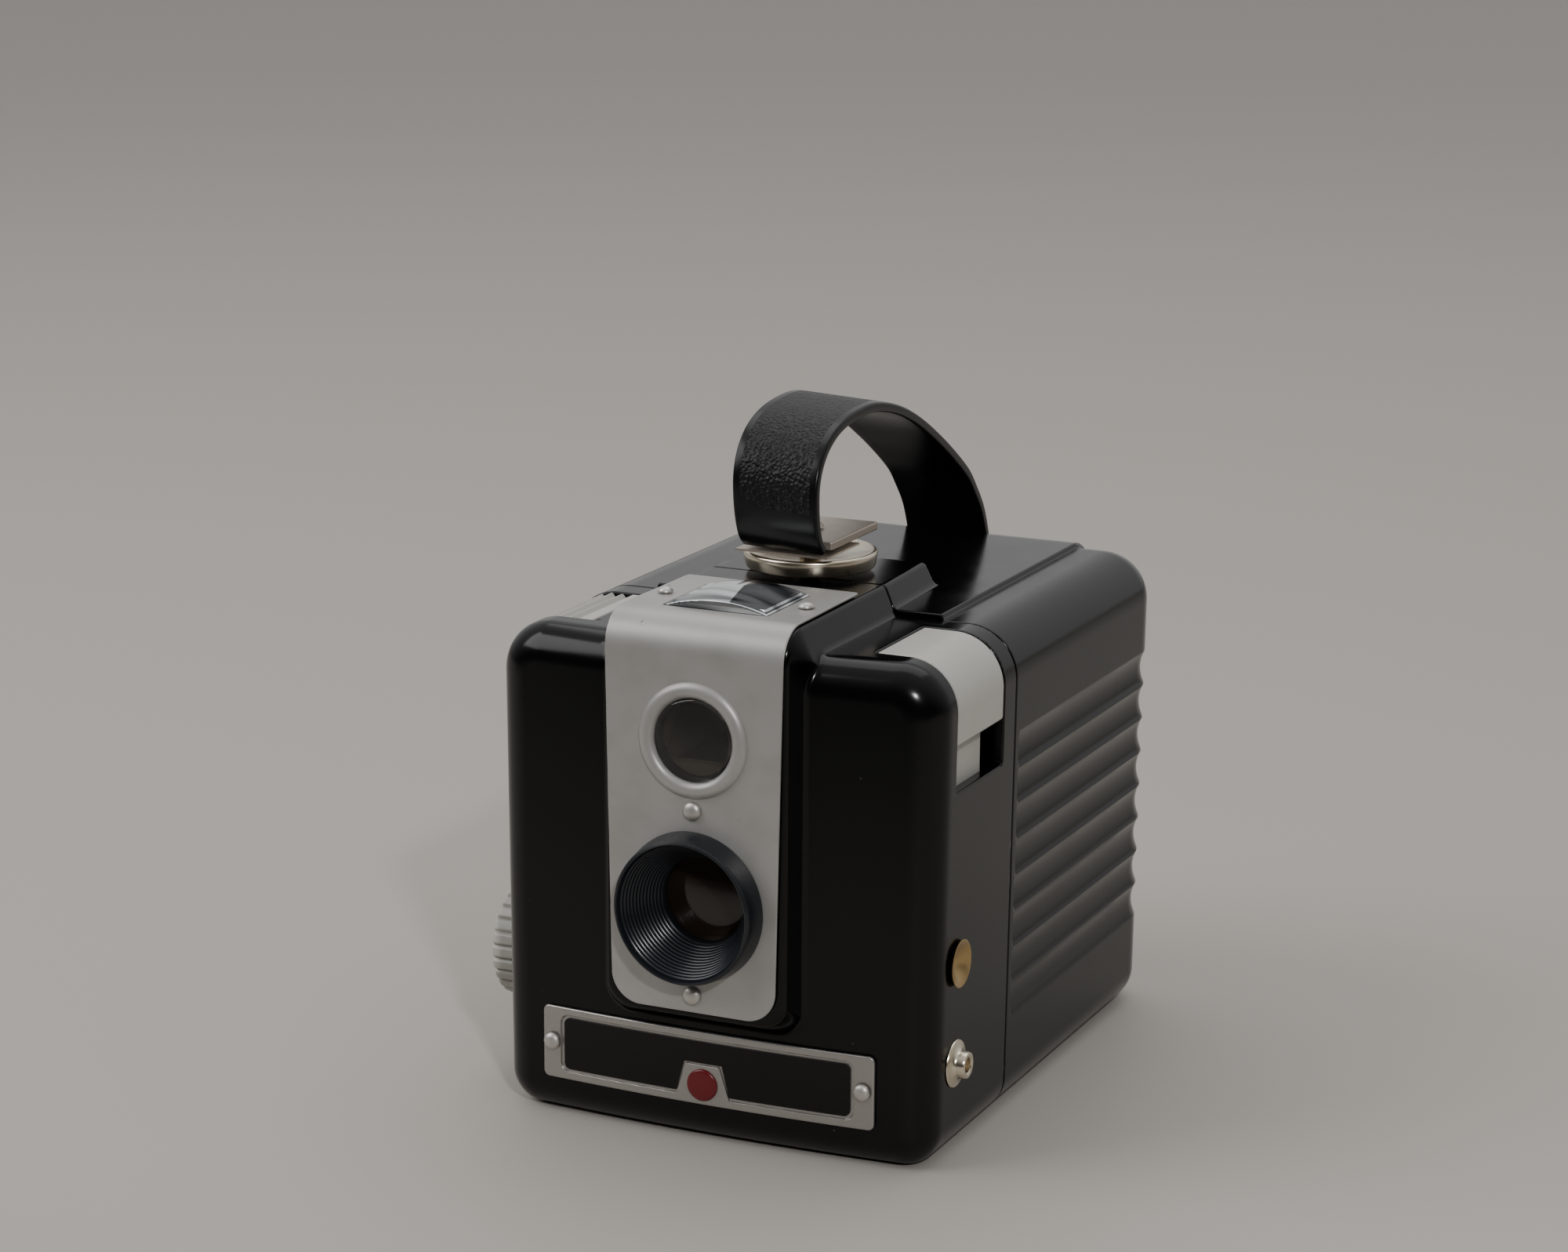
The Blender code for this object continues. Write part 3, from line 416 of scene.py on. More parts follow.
def strapPlastic(name, grained):
    # Flexible vinyl strap: the outer face has an embossed leather grain, the edges stay smooth and glossy.
    look = {"base": "#0d0d0f", "roughness": 0.42 if grained else 0.27, "pebble": 0.62, "depth": 0.00036}
    finish, tree, shader = newFinish(name, look["base"], look["roughness"])
    shader.inputs["Specular IOR Level"].default_value = 0.3
    if grained:
        where = addNode(tree, "ShaderNodeTexCoord")
        pebbles = addNode(tree, "ShaderNodeTexVoronoi",
                          {"Scale": 1000.0 / look["pebble"], "feature": "SMOOTH_F1"},
                          {"Vector": where.outputs["Object"]})
        bump = addNode(tree, "ShaderNodeBump", {"Strength": 1.0, "Distance": look["depth"]},
                       {"Height": pebbles.outputs["Distance"]})
        tree.links.new(bump.outputs["Normal"], shader.inputs["Normal"])
    return finish


phenolic = blackPhenolic()
silver = silverPaint()
nickel = nickelPlate()
rivetPlate = plainFinish("steel tin plated", "#c6c2bd", 0.44, Metallic=0.9)  # soft bright tin
greyPlastic = greyMoulding()
innerBlack = plainFinish("lacquer dull black", "#101010", 0.6)  # matt, shows no form
innerSteel = plainFinish("steel bright rolled", "#8d8d8c", 0.32, Metallic=1.0)  # cold grey sheen
# pale frame, soft sheen
satinAluminium = plainFinish("aluminium satin pressed", "#a9a5a1", 0.34, Metallic=0.85)
# near-mirror black
blackEnamel = newFinish("enamel black baked", "#070606", 0.14, **{"Specular IOR Level": 0.3})[0]
redEnamel = plainFinish("enamel red baked", "#600c13", 0.3)  # dark gloss red
windowGlass = clearGlass("glass polished clear", "#f4f6f4")  # clear, thin edge glint
# clear lens tinted dark brown as painted shade of the dark inside behind it, stop just seen
lensGlassPaintedShade = plainFinish("glass lens ground", "#2b2119", 0.05, **{"Transmission Weight": 0.3, "IOR": 1.5})
finderGlass = finderPlastic()
hoodPlasticPaintedSheen = plainFinish("phenolic moulded satin", "#15181d", 0.29)  # satin black, lighter and bluish as painted sheen
brass = plainFinish("brass spun worn", "#b59a6c", 0.3, Metallic=1.0)  # dull warm gold
wornSteel = plainFinish("steel plated worn", "#b3a89c", 0.4, Metallic=0.8)  # plating gone dull
darkSteel = newFinish("steel blackened", "#231c15", 0.3, Metallic=0.3)[0]  # brown-black shutter
mirrorGlass = plainFinish("glass silvered mirror", "#d8d8d6", 0.03, Metallic=1.0)  # front mirror
redFilter = plainFinish("celluloid red filter", "#5a0a0a", 0.15)  # deep red window
report("finishes")


def dress(piece, finish):
    piece.data.materials.clear()
    piece.data.materials.append(finish)


def stands(piece, body, finish, slotName, *nodeNames):
    # a finished piece takes the place of its CAD nodes on their body
    dress(piece, finish)
    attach(piece, body)
    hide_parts(*nodeNames)


# millimetres; draught is the sides' lean for each millimetre of height
shell = {"halfWidth": 46.0, "top": 97.0, "shoulderRound": 10.0, "footRound": 7.0, "frontRound": 6.9,
         "rearRound": 12.0, "frontSkin": 0.3, "bow": 2.4, "draught": 0.000242, "depth": 124.0,
         "seam": 40.6, "gap": 0.3, "wall": 2.4, "lipOffset": 2.7, "hoodBore": 11.7}
middles = {"lens": 48.7, "window": 80.7}  # heights of the lens and the finder window
contacts = {"depth": 14.8, "socket": 38.4, "stud": 18.6, "hole": 2.9}
knob = {"depth": 27.6, "height": 25.6, "radius": 11.4, "lands": 26, "groove": 0.7, "shaftHole": 3.1}
latch = {"depth": 46.9, "postHole": 2.4}
band = {"crest": 18.5, "rise": 4.6, "foot": 20.4, "front": -4.2, "top": 102.7, "bend": 6.5,
        "lowEnd": 26.8, "corner": 5.0, "rearEnd": 63.0, "edge": 0.7, "fillet": 0.9}
flutes = {"low": 18.8, "pitch": 7.2, "count": 8, "depth": 0.9, "start": 43.0}
panel = {"half": 30.7, "step": 1.1}
slots = {"inner": 29.2, "front": 11.8, "rear": 34.5, "buttonFoot": 72.0, "leverFoot": 84.7}


def bowed(x, y):
    return y - shell["bow"] * (x / shell["halfWidth"]) ** 2 * np.clip(1.0 - y / shell["seam"], 0.0, 1.2)


def bodySection(x, z, dip=0.0, lift=0.0):
    wide = np.abs(x / (1.0 - shell["draught"] * (90.0 - z))) - shell["halfWidth"] + dip
    upper = roundMax(wide, z - shell["top"] - lift, shell["shoulderRound"])
    lower = roundMax(wide, -z, shell["footRound"])
    return np.maximum(upper, lower)


def bandField(x, y, z):
    # the raised band that carries the face plate
    skin = roundMax(band["front"] - y, z - band["top"], band["bend"])
    slope = (band["foot"] - band["crest"]) / band["rise"]
    side = (np.abs(x) - band["crest"] + slope * skin) / math.hypot(1.0, slope)
    low = band["lowEnd"] + 0.5 * skin - z
    flank = roundMax(side, low, band["corner"])
    return roundMax(skin, flank, band["edge"])


def frontOuter(x, y, z):
    block = roundMax(bodySection(x, z), shell["frontSkin"] - bowed(x, y), shell["frontRound"])
    return roundMin(block, bandField(x, y, z), band["fillet"])


def frontCasingField(x, y, z):
    # open behind, with a light lip, two shoulder slots and a hole for each fitting
    outer = frontOuter(x, y, z)
    section = bodySection(x, z)
    hollow = cutOut(outer, outer + shell["wall"], 0.3)
    case = roundMax(hollow, y - shell["seam"], 0.35)
    lip = np.maximum(np.abs(section + shell["lipOffset"] + 0.6) - 0.6, np.abs(y - 40.2) - 3.6)
    roof = slab(x, y, z, (-15.5, 36.0, 90.0), (15.5, shell["seam"] - 0.1, 101.0), 0.3)
    case = np.minimum(np.minimum(case, lip), np.maximum(roof, outer))
    case = cutOut(case, slab(x, y, z, (-13.0, 34.0, 96.9), (13.0, 50.0, 99.6), 0.3), 0.2)
    for side, foot in ((1.0, slots["buttonFoot"]), (-1.0, slots["leverFoot"])):
        opening = slab(x * side, y, z, (slots["inner"], slots["front"], foot),
                       (70.0, slots["rear"], 130.0), 0.5)
        case = cutOut(case, opening, 0.35)
    hood = np.maximum(np.hypot(x, z - middles["lens"]) - shell["hoodBore"], np.abs(y) - 12.0)
    window = np.maximum(np.hypot(x, z - middles["window"]) - 7.0, np.abs(y) - 8.0)
    lensHole = slab(x, y, z, (-10.0, 5.2, 94.0), (10.0, 22.6, 112.0), 0.5)
    shaft = np.maximum(np.hypot(y - knob["depth"], z - knob["height"]) - knob["shaftHole"], x + 30.0)
    socket, stud = [np.hypot(y - contacts["depth"], z - contacts[name]) for name in ("socket", "stud")]
    sideHoles = np.maximum(np.minimum(socket, stud) - contacts["hole"], 30.0 - x)
    for hole in (hood, window, lensHole, shaft, sideHoles):
        case = cutOut(case, hole, 0.2)
    return case


def fluteDip(y, z):
    # scalloped flutes along the cover's sides
    along = (z - flutes["low"]) / flutes["pitch"]
    share = 2.0 * (along - np.floor(along)) - 1.0
    held = (along > 0.0) & (along < flutes["count"])
    fade = np.clip((y - flutes["start"]) / 0.7, 0.0, 1.0)
    return np.where(held, flutes["depth"] * (1.0 - share ** 2), 0.0) * fade


def rearOuter(x, y, z, fluted=True):
    lift = panel["step"] * np.clip((panel["half"] - np.abs(x)) / 0.5, 0.0, 1.0)
    dip = fluteDip(y, z) if fluted else 0.0
    block = roundMax(bodySection(x, z, dip, lift), y - shell["depth"], shell["rearRound"])
    narrow = 0.045 * np.clip(y - shell["seam"], 0.0, 40.0)
    skin = z - band["top"]
    slope = (band["foot"] - band["crest"]) / band["rise"]
    side = (np.abs(x) - band["crest"] + narrow + slope * skin) / math.hypot(1.0, slope)
    end = y - band["rearEnd"] + 0.22 * skin
    ridge = roundMax(roundMax(skin, side, band["edge"]), end, 0.5)
    ridge = np.maximum(ridge, 60.0 - z)
    return roundMin(block, ridge, band["fillet"])


def rearCoverField(x, y, z):
    # open in front, with the latch post's hole, the red window and the strap's slot
    outer = rearOuter(x, y, z)
    inner = rearOuter(x, y, z, fluted=False) + shell["wall"]
    case = cutOut(outer, inner, 0.3)
    case = roundMax(case, shell["seam"] + shell["gap"] - y, 0.35)
    front = slab(x, y, z, (-17.0, 40.9, 90.0), (17.0, 43.3, 102.0), 0.2)
    case = np.minimum(case, np.maximum(np.maximum(front, outer), 94.0 - z))
    case = cutOut(case, slab(x, y, z, (-13.0, 30.0, 96.9), (13.0, 46.9, 99.6), 0.3), 0.2)
    post = np.maximum(np.hypot(x, y - latch["depth"]) - latch["postHole"], 94.0 - z)
    window = np.maximum(np.hypot(x, z - middles["lens"]) - 7.0, 110.0 - y)
    strapSlot = slab(x, y - 0.28 * (95.5 - z), z, (-9.5, 116.3, 84.0), (9.5, 118.9, 108.0), 0.4)
    for hole in (post, window, strapSlot):
        case = cutOut(case, hole, 0.3)
    return case


sideBand = [(-47.0, -34.5), (-22.0, -17.0), (17.0, 22.0), (28.6, 29.8), (34.5, 47.0)]
frontGrid = (gridLines(-47.0, 47.0, 1.5, 0.5, sideBand),
             gridLines(-5.2, 45.0, 1.2, 0.5, [(-5.2, 6.5), (11.2, 12.4), (34.0, 45.0)]),
             gridLines(-1.0, 104.0, 1.5, 0.5, [(-1.0, 8.5), (23.5, 33.0), (71.4, 72.8), (84.1, 104.0)]))
frontCasing = mould("frontCasing", frontCasingField, *frontGrid)
stands(frontCasing, "front", phenolic, "black_moulding", "front_casing")
report("front casing")

coverBand = [(-47.0, -41.0), (-32.0, -30.0), (-22.0, -17.0), (17.0, 22.0), (30.0, 32.0), (41.0, 47.0)]
rearGrid = (gridLines(-47.0, 47.0, 1.5, 0.5, coverBand),
            gridLines(39.5, 125.0, 1.5, 0.5, [(39.5, 45.5), (61.5, 66.0), (112.0, 125.0)]),
            gridLines(-1.0, 104.0, 0.9, 0.5, [(-1.0, 8.5), (17.5, 77.5), (86.0, 104.0)]))
rearCover = mould("rearCover", rearCoverField, *rearGrid)
stands(rearCover, "rear", phenolic, "black_moulding", "rear_cover")
report("rear cover")


sheet = {"front": -5.0, "top": 103.5, "bend": 7.0, "thick": 0.5, "low": 27.9, "corner": 6.0, "rear": 29.6,
         "halfLow": 16.9, "halfTop": 18.35, "windowRadius": 9.4}


def facePlateField(x, y, z):
    # one sheet, bent over the top edge
    skin = roundMax(sheet["front"] - y, z - sheet["top"], sheet["bend"])
    away = np.hypot(x, z - middles["window"])
    leaf = roundMax(skin, -skin - sheet["thick"], 0.12)
    up = np.clip((z - sheet["low"]) / (sheet["top"] - sheet["low"]), 0.0, 1.0)
    half = sheet["halfLow"] + (sheet["halfTop"] - sheet["halfLow"]) * up - 0.012 * np.clip(y, 0.0, 40.0)
    flank = roundMax(np.abs(x) - half, sheet["low"] - z, sheet["corner"])
    flank = roundMax(flank, y - sheet["rear"], 0.8)
    plate = roundMax(leaf, flank, 0.15)
    window = np.maximum(away - sheet["windowRadius"], y)
    hood = np.maximum(np.hypot(x, z - middles["lens"]) - shell["hoodBore"], y)
    lensHole = slab(x, y, z, (-10.8, 4.1, 90.0), (10.8, 23.6, 112.0), 0.5)
    for hole in (window, hood, lensHole):
        plate = cutOut(plate, hole, 0.12)
    return plate


plateGrid = (gridLines(-19.5, 19.5, 0.8, 0.25, [(-19.5, -9.8), (9.8, 19.5)]),
             gridLines(-6.6, 30.2, 0.8, 0.2, [(-6.6, 2.6), (3.5, 4.6), (23.0, 24.2), (29.0, 30.2)]),
             gridLines(27.4, 104.2, 0.8, 0.25, [(27.4, 34.5), (68.5, 93.0), (95.5, 104.2)]))
facePlate = mould("facePlate", facePlateField, *plateGrid)
ringProfile = [(11.1, 0.3), (11.1, -0.08), (10.9, -0.4), (10.45, -0.78), (9.9, -0.98), (9.4, -1.02),
               (8.9, -0.9), (8.45, -0.62), (8.12, -0.2), (8.0, 0.3)]
windowRing = lathe("windowRing", ringProfile, (0.0, sheet["front"], middles["window"]), "Y", 128, 60.0)
for piece in (facePlate, windowRing):
    stands(piece, "front", silver, "silver_sheet", "face_plate")
report("face plate")

badge = {"half": 34.8, "low": 8.1, "high": 22.6, "corner": 1.2, "front": -0.7, "fieldHalf": 30.9,
         "fieldLow": 9.7, "fieldHigh": 21.2, "fieldCorner": 1.9, "fieldDepth": 0.4, "dotHeight": 12.1,
         "rivetX": 32.6, "rivetHeight": 15.6}


def badgeOutline(x, z, half, low, high, corner):
    side = roundMax(np.abs(x) - half, z - high, corner)
    return np.maximum(side, roundMax(np.abs(x) - half, low - z, corner))


def namePlateField(x, y, z):
    # a frame round a sunk field, with a tab for the dot
    depth = bowed(x, y)
    plate = badgeOutline(x, z, badge["half"], badge["low"], badge["high"], badge["corner"])
    plate = roundMax(plate, badge["front"] - depth, 0.3)
    plate = np.maximum(plate, depth)
    field = badgeOutline(x, z, badge["fieldHalf"], badge["fieldLow"], badge["fieldHigh"],
                         badge["fieldCorner"])
    tab = np.maximum(np.abs(x) - 5.6 + 0.33 * (z - 9.6), z - 16.0)
    field = np.maximum(field, -tab)
    pocket = np.maximum(field, depth - badge["front"] - badge["fieldDepth"])
    return cutOut(plate, pocket, 0.1)


badgeGrid = (gridLines(-35.3, 35.3, 0.8, 0.25, [(-35.3, -28.5), (-6.5, 6.5), (28.5, 35.3)]),
             gridLines(-1.2, 2.8, 0.15, 0.15, [(-1.2, 2.8)]),
             gridLines(7.7, 23.1, 0.25, 0.25, [(7.7, 23.1)]))
namePlate = mould("namePlate", namePlateField, *badgeGrid)
stands(namePlate, "front", satinAluminium, "name_frame", "name_plate")
dotProfile = [(0.0, -0.5), (2.6, -0.5), (2.95, -0.42), (3.15, -0.2), (3.15, 0.3), (0.0, 0.3)]
nameDot = lathe("nameDot", dotProfile, (0.0, badge["front"], badge["dotHeight"]), "Y", 64, 50.0)
stands(nameDot, "front", redEnamel, "red_enamel", "name_dot")
report("name plate")


hood = {"mouth": 13.05, "mouthDepth": -9.9, "throat": 8.5, "throatDepth": -0.6, "grooves": 13,
        "grooveDepth": 0.13}
hoodProfile = [(14.6, -5.2), (14.58, -5.6), (14.5, -6.1), (14.0, -9.6), (13.88, -10.0), (13.68, -10.3),
               (13.45, -10.4), (13.25, -10.32), (13.15, -10.1)]
grooveSteps = 6
for k in range(hood["grooves"] * grooveSteps):
    share = (k + 1) / (hood["grooves"] * grooveSteps + 1)
    dip = hood["grooveDepth"] * (0.0, 0.55, 0.9, 1.0, 0.9, 0.55)[k % grooveSteps]
    radius = hood["mouth"] + (hood["throat"] - hood["mouth"]) * share + dip * 0.9
    depth = hood["mouthDepth"] + (hood["throatDepth"] - hood["mouthDepth"]) * share + dip * 0.43
    hoodProfile.append((radius, depth))
hoodProfile += [(8.45, -0.5), (8.4, -0.1), (8.4, 2.6), (11.4, 2.6), (11.4, -5.2)]
lensHood = lathe("lensHood", hoodProfile, (0.0, 0.0, middles["lens"]), "Y", 160, 30.0)
stands(lensHood, "front", hoodPlasticPaintedSheen, "black_moulding", "lens_hood")

glass = {"radius": 8.3, "curve": 12.6, "flatter": 0.45, "rimFront": 0.9, "rimRear": 2.3}
rimDrop = math.cos(math.radians(41.2))
meniscus = []
for a in range(0, 41, 3):
    turn = math.radians(a)
    bulge = glass["curve"] * (math.cos(turn) - rimDrop) * glass["flatter"]
    meniscus.append((glass["curve"] * math.sin(turn), glass["rimFront"] - bulge))
meniscus += [(glass["radius"], glass["rimFront"]), (glass["radius"], glass["rimRear"])]
meniscus += [(5.0, glass["rimRear"] - 0.5), (2.5, glass["rimRear"] - 0.75), (0.0, glass["rimRear"] - 0.8)]
lens = lathe("lens", meniscus, (0.0, 0.0, middles["lens"]), "Y", 96, 40.0)
stands(lens, "front", lensGlassPaintedShade, "lens_glass", "lens")

finderWindow = lathe("finderWindow", [(0.0, -0.35), (3.0, -0.3), (6.0, -0.15), (7.3, -0.03), (7.65, 0.05),
                                      (7.95, 0.35), (7.95, 0.75), (0.0, 0.75)],
                     (0.0, -5.3, middles["window"]), "Y", 96, 40.0)
stands(finderWindow, "front", windowGlass, "clear_glass", "finder_window")


def topLensField(x, y, z):
    # arched block with a stem that drops into the plate's opening
    dome = np.hypot(x, z - 103.6 + 31.5) - 33.2
    block = slab(x, y, z, (-10.5, 4.4, 100.0), (10.5, 23.3, 110.0), 0.25)
    lens = roundMax(dome, block, 0.3)
    stem = slab(x, y, z, (-9.6, 5.6, 101.2), (9.6, 22.2, 104.2), 0.3)
    return np.minimum(np.maximum(lens, 103.2 - z), stem)


topLensGrid = (gridLines(-11.0, 11.0, 0.5, 0.25, [(-11.0, -9.0), (9.0, 11.0)]),
               gridLines(3.9, 23.8, 0.5, 0.25, [(3.9, 6.0), (21.6, 23.8)]),
               gridLines(100.8, 105.8, 0.25, 0.25, [(100.8, 105.8)]))
finderTopLens = mould("finderTopLens", topLensField, *topLensGrid)
stands(finderTopLens, "front", finderGlass, "clear_glass", "finder_top_lens")
report("hood, lenses and finder")


def rivetHead(name, centre, radius, axis, sign, node):
    dome = [(radius * math.sin(math.radians(a)),
             sign * (0.95 * math.cos(math.radians(a)) + 0.05)) for a in range(0, 90, 9)]
    dome[0] = (0.0, sign * 1.0)
    dome += [(radius, sign * 0.05), (radius, 0.0), (0.8, 0.0), (0.8, -3.0 * sign), (0.0, -3.0 * sign)]
    piece = lathe(name, dome, centre, axis, 40, 50.0)
    stands(piece, "front", rivetPlate, "rivet_steel", node)


sideBow = shell["bow"] * (badge["rivetX"] / shell["halfWidth"]) ** 2
sides = (("Left", -1), ("Right", 1))
for side, sign in sides:
    namePlace = (sign * badge["rivetX"], sideBow - 1.2, badge["rivetHeight"])
    rivetHead(f"rivetName{side}", namePlace, 1.7, "Y", -1, f"rivet_name_{side.lower()}")
for spot, height in (("Window", 67.2), ("Lens", 31.3)):
    rivetHead(f"rivet{spot}", (0.0, sheet["front"] - 0.2, height), 1.8, "Y", -1, f"rivet_{spot.lower()}")
for side, sign in sides:
    topPlace = (sign * 14.6, 13.0, sheet["top"] + 0.3)
    rivetHead(f"rivetTop{side}", topPlace, 1.5, "Z", 1, f"rivet_top_{side.lower()}")


slabSize = {"thick": 2.4, "buttonFoot": 80.9, "leverFoot": 85.0, "gap": 0.3, "ribPitch": 2.3,
            "ribDepth": 0.75}


def shoulderSlab(x, y, z, foot):
    # a slab that follows the shoulder, down to its foot
    section = bodySection(x, z)
    skin = roundMax(section, -section - slabSize["thick"], 0.3)
    lip = slots["inner"] + slabSize["gap"]
    part = roundMax(skin, lip - x, 0.35)
    part = roundMax(part, foot - z, 0.5)
    middle, half = (slots["front"] + slots["rear"]) / 2.0, (slots["rear"] - slots["front"]) / 2.0
    depth = np.abs(y - middle) - half + slabSize["gap"]
    return roundMax(part, depth, 0.35)


def buttonField(x, y, z):
    part = shoulderSlab(x, y, z, slabSize["buttonFoot"])
    tab = slab(x, y, z, (40.6, 14.2, 66.0), (43.0, 30.4, 92.5), 0.4)
    arm = slab(x, y, z, (30.6, 14.0, 86.0), (42.0, 17.0, 88.4), 0.3)
    leg = slab(x, y, z, (30.6, 14.0, 72.0), (33.0, 17.0, 88.4), 0.3)
    return np.minimum(np.minimum(part, tab), np.minimum(arm, leg))


def leverField(x, y, z):
    # five finger grooves on top, mirrored from the button's side
    part = shoulderSlab(-x, y, z, slabSize["leverFoot"])
    for k in range(5):
        centre = -33.4 - slabSize["ribPitch"] * k
        groove = (np.abs(x - centre) - 0.55) * 0.8 - (bodySection(x, z) + slabSize["ribDepth"]) * 0.6
        part = cutOut(part, np.maximum(groove, 92.0 - z), 0.12)
    leg = slab(x, y, z, (-33.0, 16.0, 70.0), (-30.6, 19.0, 95.6), 0.3)
    return np.minimum(part, leg)


slabDepth = gridLines(11.8, 34.9, 0.8, 0.25, [(11.8, 13.6), (21.6, 23.0), (33.4, 34.9)])
shutterButton = mould("shutterButton", buttonField, gridLines(29.0, 47.0, 0.4, 0.3, [(29.0, 31.0)]),
                      slabDepth, gridLines(65.5, 97.6, 0.5, 0.3, [(80.0, 97.6)]))
stands(shutterButton, "button", greyPlastic, "grey_moulding", "shutter_button")
timeLever = mould("timeLever", leverField, gridLines(-47.0, -29.0, 0.25, 0.25, [(-47.0, -29.0)]),
                  slabDepth, gridLines(69.5, 97.6, 0.5, 0.25, [(84.0, 97.6)]))
stands(timeLever, "lever", greyPlastic, "grey_moulding", "time_lever")


def knobField(x, y, z):
    # flat lands with a groove between each pair, and a dished face
    away = np.hypot(y - knob["depth"], z - knob["height"])
    turn = np.arctan2(z - knob["height"], y - knob["depth"]) * knob["lands"] / (2.0 * math.pi)
    share = np.abs(turn - np.round(turn)) * 2.0
    notch = knob["groove"] * np.clip((share - 0.55) / 0.45, 0.0, 1.0) ** 1.4
    rim = away - knob["radius"] + notch
    ends = np.abs(x + 51.0) - 4.0
    body = roundMax(rim, ends, 0.8)
    dish = np.maximum(away - 7.4, np.abs(x + 55.6) - 1.2)
    return cutOut(body, dish, 0.5)


knobGrid = (gridLines(-55.4, -46.6, 0.3, 0.3, [(-55.4, -46.6)]),
            gridLines(15.8, 39.4, 0.25, 0.25, [(15.8, 39.4)]),
            gridLines(13.8, 37.4, 0.25, 0.25, [(13.8, 37.4)]))
windingKnob = mould("windingKnob", knobField, *knobGrid)
stands(windingKnob, "winder", greyPlastic, "grey_moulding", "winding_knob")
report("button, lever and knob")


socketProfile = [(0.0, 43.0), (2.6, 43.0), (2.6, 45.8), (3.5, 46.0), (4.3, 46.4), (4.6, 46.7),
                 (4.62, 46.86), (4.5, 46.95)]
for k in range(9):
    share = 1.0 - k / 8.0
    socketProfile.append((4.35 * share, 46.9 - 1.7 * (1.0 - share ** 2) ** 1.5))
flashSocket = lathe("flashSocket", [(r, x - 0.6) for r, x in socketProfile],
                    (0.0, contacts["depth"], contacts["socket"]), "X", 64, 60.0)
stands(flashSocket, "front", brass, "nickel", "flash_socket")
studProfile = [(0.0, 43.0), (2.6, 43.0), (2.6, 45.9), (4.3, 46.05), (4.6, 46.3), (4.5, 46.5),
               (3.2, 46.75), (2.8, 47.1), (2.65, 47.6), (2.6, 48.6), (2.45, 48.9), (2.1, 49.02),
               (1.7, 48.95), (1.45, 48.7), (1.4, 47.4), (0.0, 47.4)]
flashPin = lathe("flashPin", [(r, x - 0.95) for r, x in studProfile],
                 (0.0, contacts["depth"], contacts["stud"]), "X", 64, 40.0)
stands(flashPin, "front", nickel, "nickel", "flash_pin")


discProfile = [(2.4, 103.6), (12.2, 103.6), (12.45, 103.66), (12.62, 103.85), (12.72, 104.1),
               (13.0, 105.7), (13.06, 106.2), (13.0, 106.6), (12.8, 106.88), (12.5, 106.98),
               (12.1, 106.92), (11.7, 106.7), (10.9, 106.45), (8.0, 106.25), (2.4, 106.2)]
latchDisc = lathe("latchDisc", discProfile, (0.0, latch["depth"], 0.0), "Z", 160, 60.0)
stands(latchDisc, "latch", nickel, "nickel", "latch_disc")


def clipField(x, y, z):
    # flat plate on the post
    plate = slab(x, y, z, (-9.2, 36.4, 109.3), (9.2, 58.6, 110.9), 0.3)
    hole = np.maximum(np.hypot(x, y - latch["depth"]) - 1.5, np.abs(z - 110.0) - 3.0)
    return cutOut(plate, hole, 0.15)


clipGrid = (gridLines(-9.6, 9.6, 0.5, 0.25, [(-9.6, -8.4), (-2.2, 2.2), (8.4, 9.6)]),
            gridLines(35.4, 59.0, 0.5, 0.25, [(35.4, 36.8), (44.8, 49.0), (57.8, 59.0)]),
            gridLines(108.9, 111.4, 0.2, 0.2, [(108.9, 111.4)]))
strapClip = mould("strapClip", clipField, *clipGrid)
stands(strapClip, "rear", wornSteel, "nickel", "strap_clip")

strap = {"half": 9.1, "thick": 2.0, "bevel": 0.55, "grainInset": 1.5, "grainStart": 0.075,
         "grainEnd": 0.9, "lean": 0.06, "turn": 0.12}
strapPath = [(34.6, 109.9), (33.1, 111.3), (32.0, 113.4), (31.2, 116.2), (30.8, 119.5), (30.9, 123.0),
             (32.2, 126.4), (34.8, 129.4), (38.6, 131.6), (43.4, 133.0), (49.6, 133.7), (57.0, 133.8),
             (64.8, 132.5), (72.7, 130.2), (80.7, 126.9), (89.0, 122.7), (97.4, 117.9), (105.8, 112.4),
             (110.3, 108.0), (113.9, 103.8), (116.2, 99.6), (117.6, 95.6), (118.2, 91.0)]


def smoothPath(points, count):
    # an even run of points along a Catmull-Rom curve through the given ones
    p = np.array([points[0]] + list(points) + [points[-1]], dtype=float)
    dense = []
    for k in range(1, len(p) - 2):
        a, b, c, d = p[k - 1], p[k], p[k + 1], p[k + 2]
        for t in np.linspace(0.0, 1.0, 12, endpoint=False):
            square, cube = 2 * a - 5 * b + 4 * c - d, 3 * b - a - 3 * c + d
            dense.append(0.5 * (2 * b + (c - a) * t + square * t ** 2 + cube * t ** 3))
    dense.append(p[-2])
    dense = np.array(dense)
    run = np.concatenate([[0.0], np.cumsum(np.linalg.norm(np.diff(dense, axis=0), axis=1))])
    even = np.linspace(0.0, run[-1], count)
    return np.stack([np.interp(even, run, dense[:, k]) for k in range(2)], 1)


strapSteps = 170
centreLine = smoothPath(strapPath, strapSteps)
alongLine = np.gradient(centreLine, axis=0)
alongLine /= np.linalg.norm(alongLine, axis=1)[:, None]
outLine = np.stack([-alongLine[:, 1], alongLine[:, 0]], 1)
halfSection = []  # one rounded edge of the strap, from its side to its top
for a in range(0, 91, 15):
    halfSection.append((strap["half"] - strap["bevel"] * (1 - math.cos(math.radians(a))),
                        strap["thick"] / 2 - strap["bevel"] * (1 - math.sin(math.radians(a)))))
section = halfSection + [(x, strap["thick"] / 2) for x in (7.5, 4.0, 0.0, -4.0, -7.5)]
section += [(-x, h) for x, h in reversed(halfSection)]
section += [(-x, -h) for x, h in section]
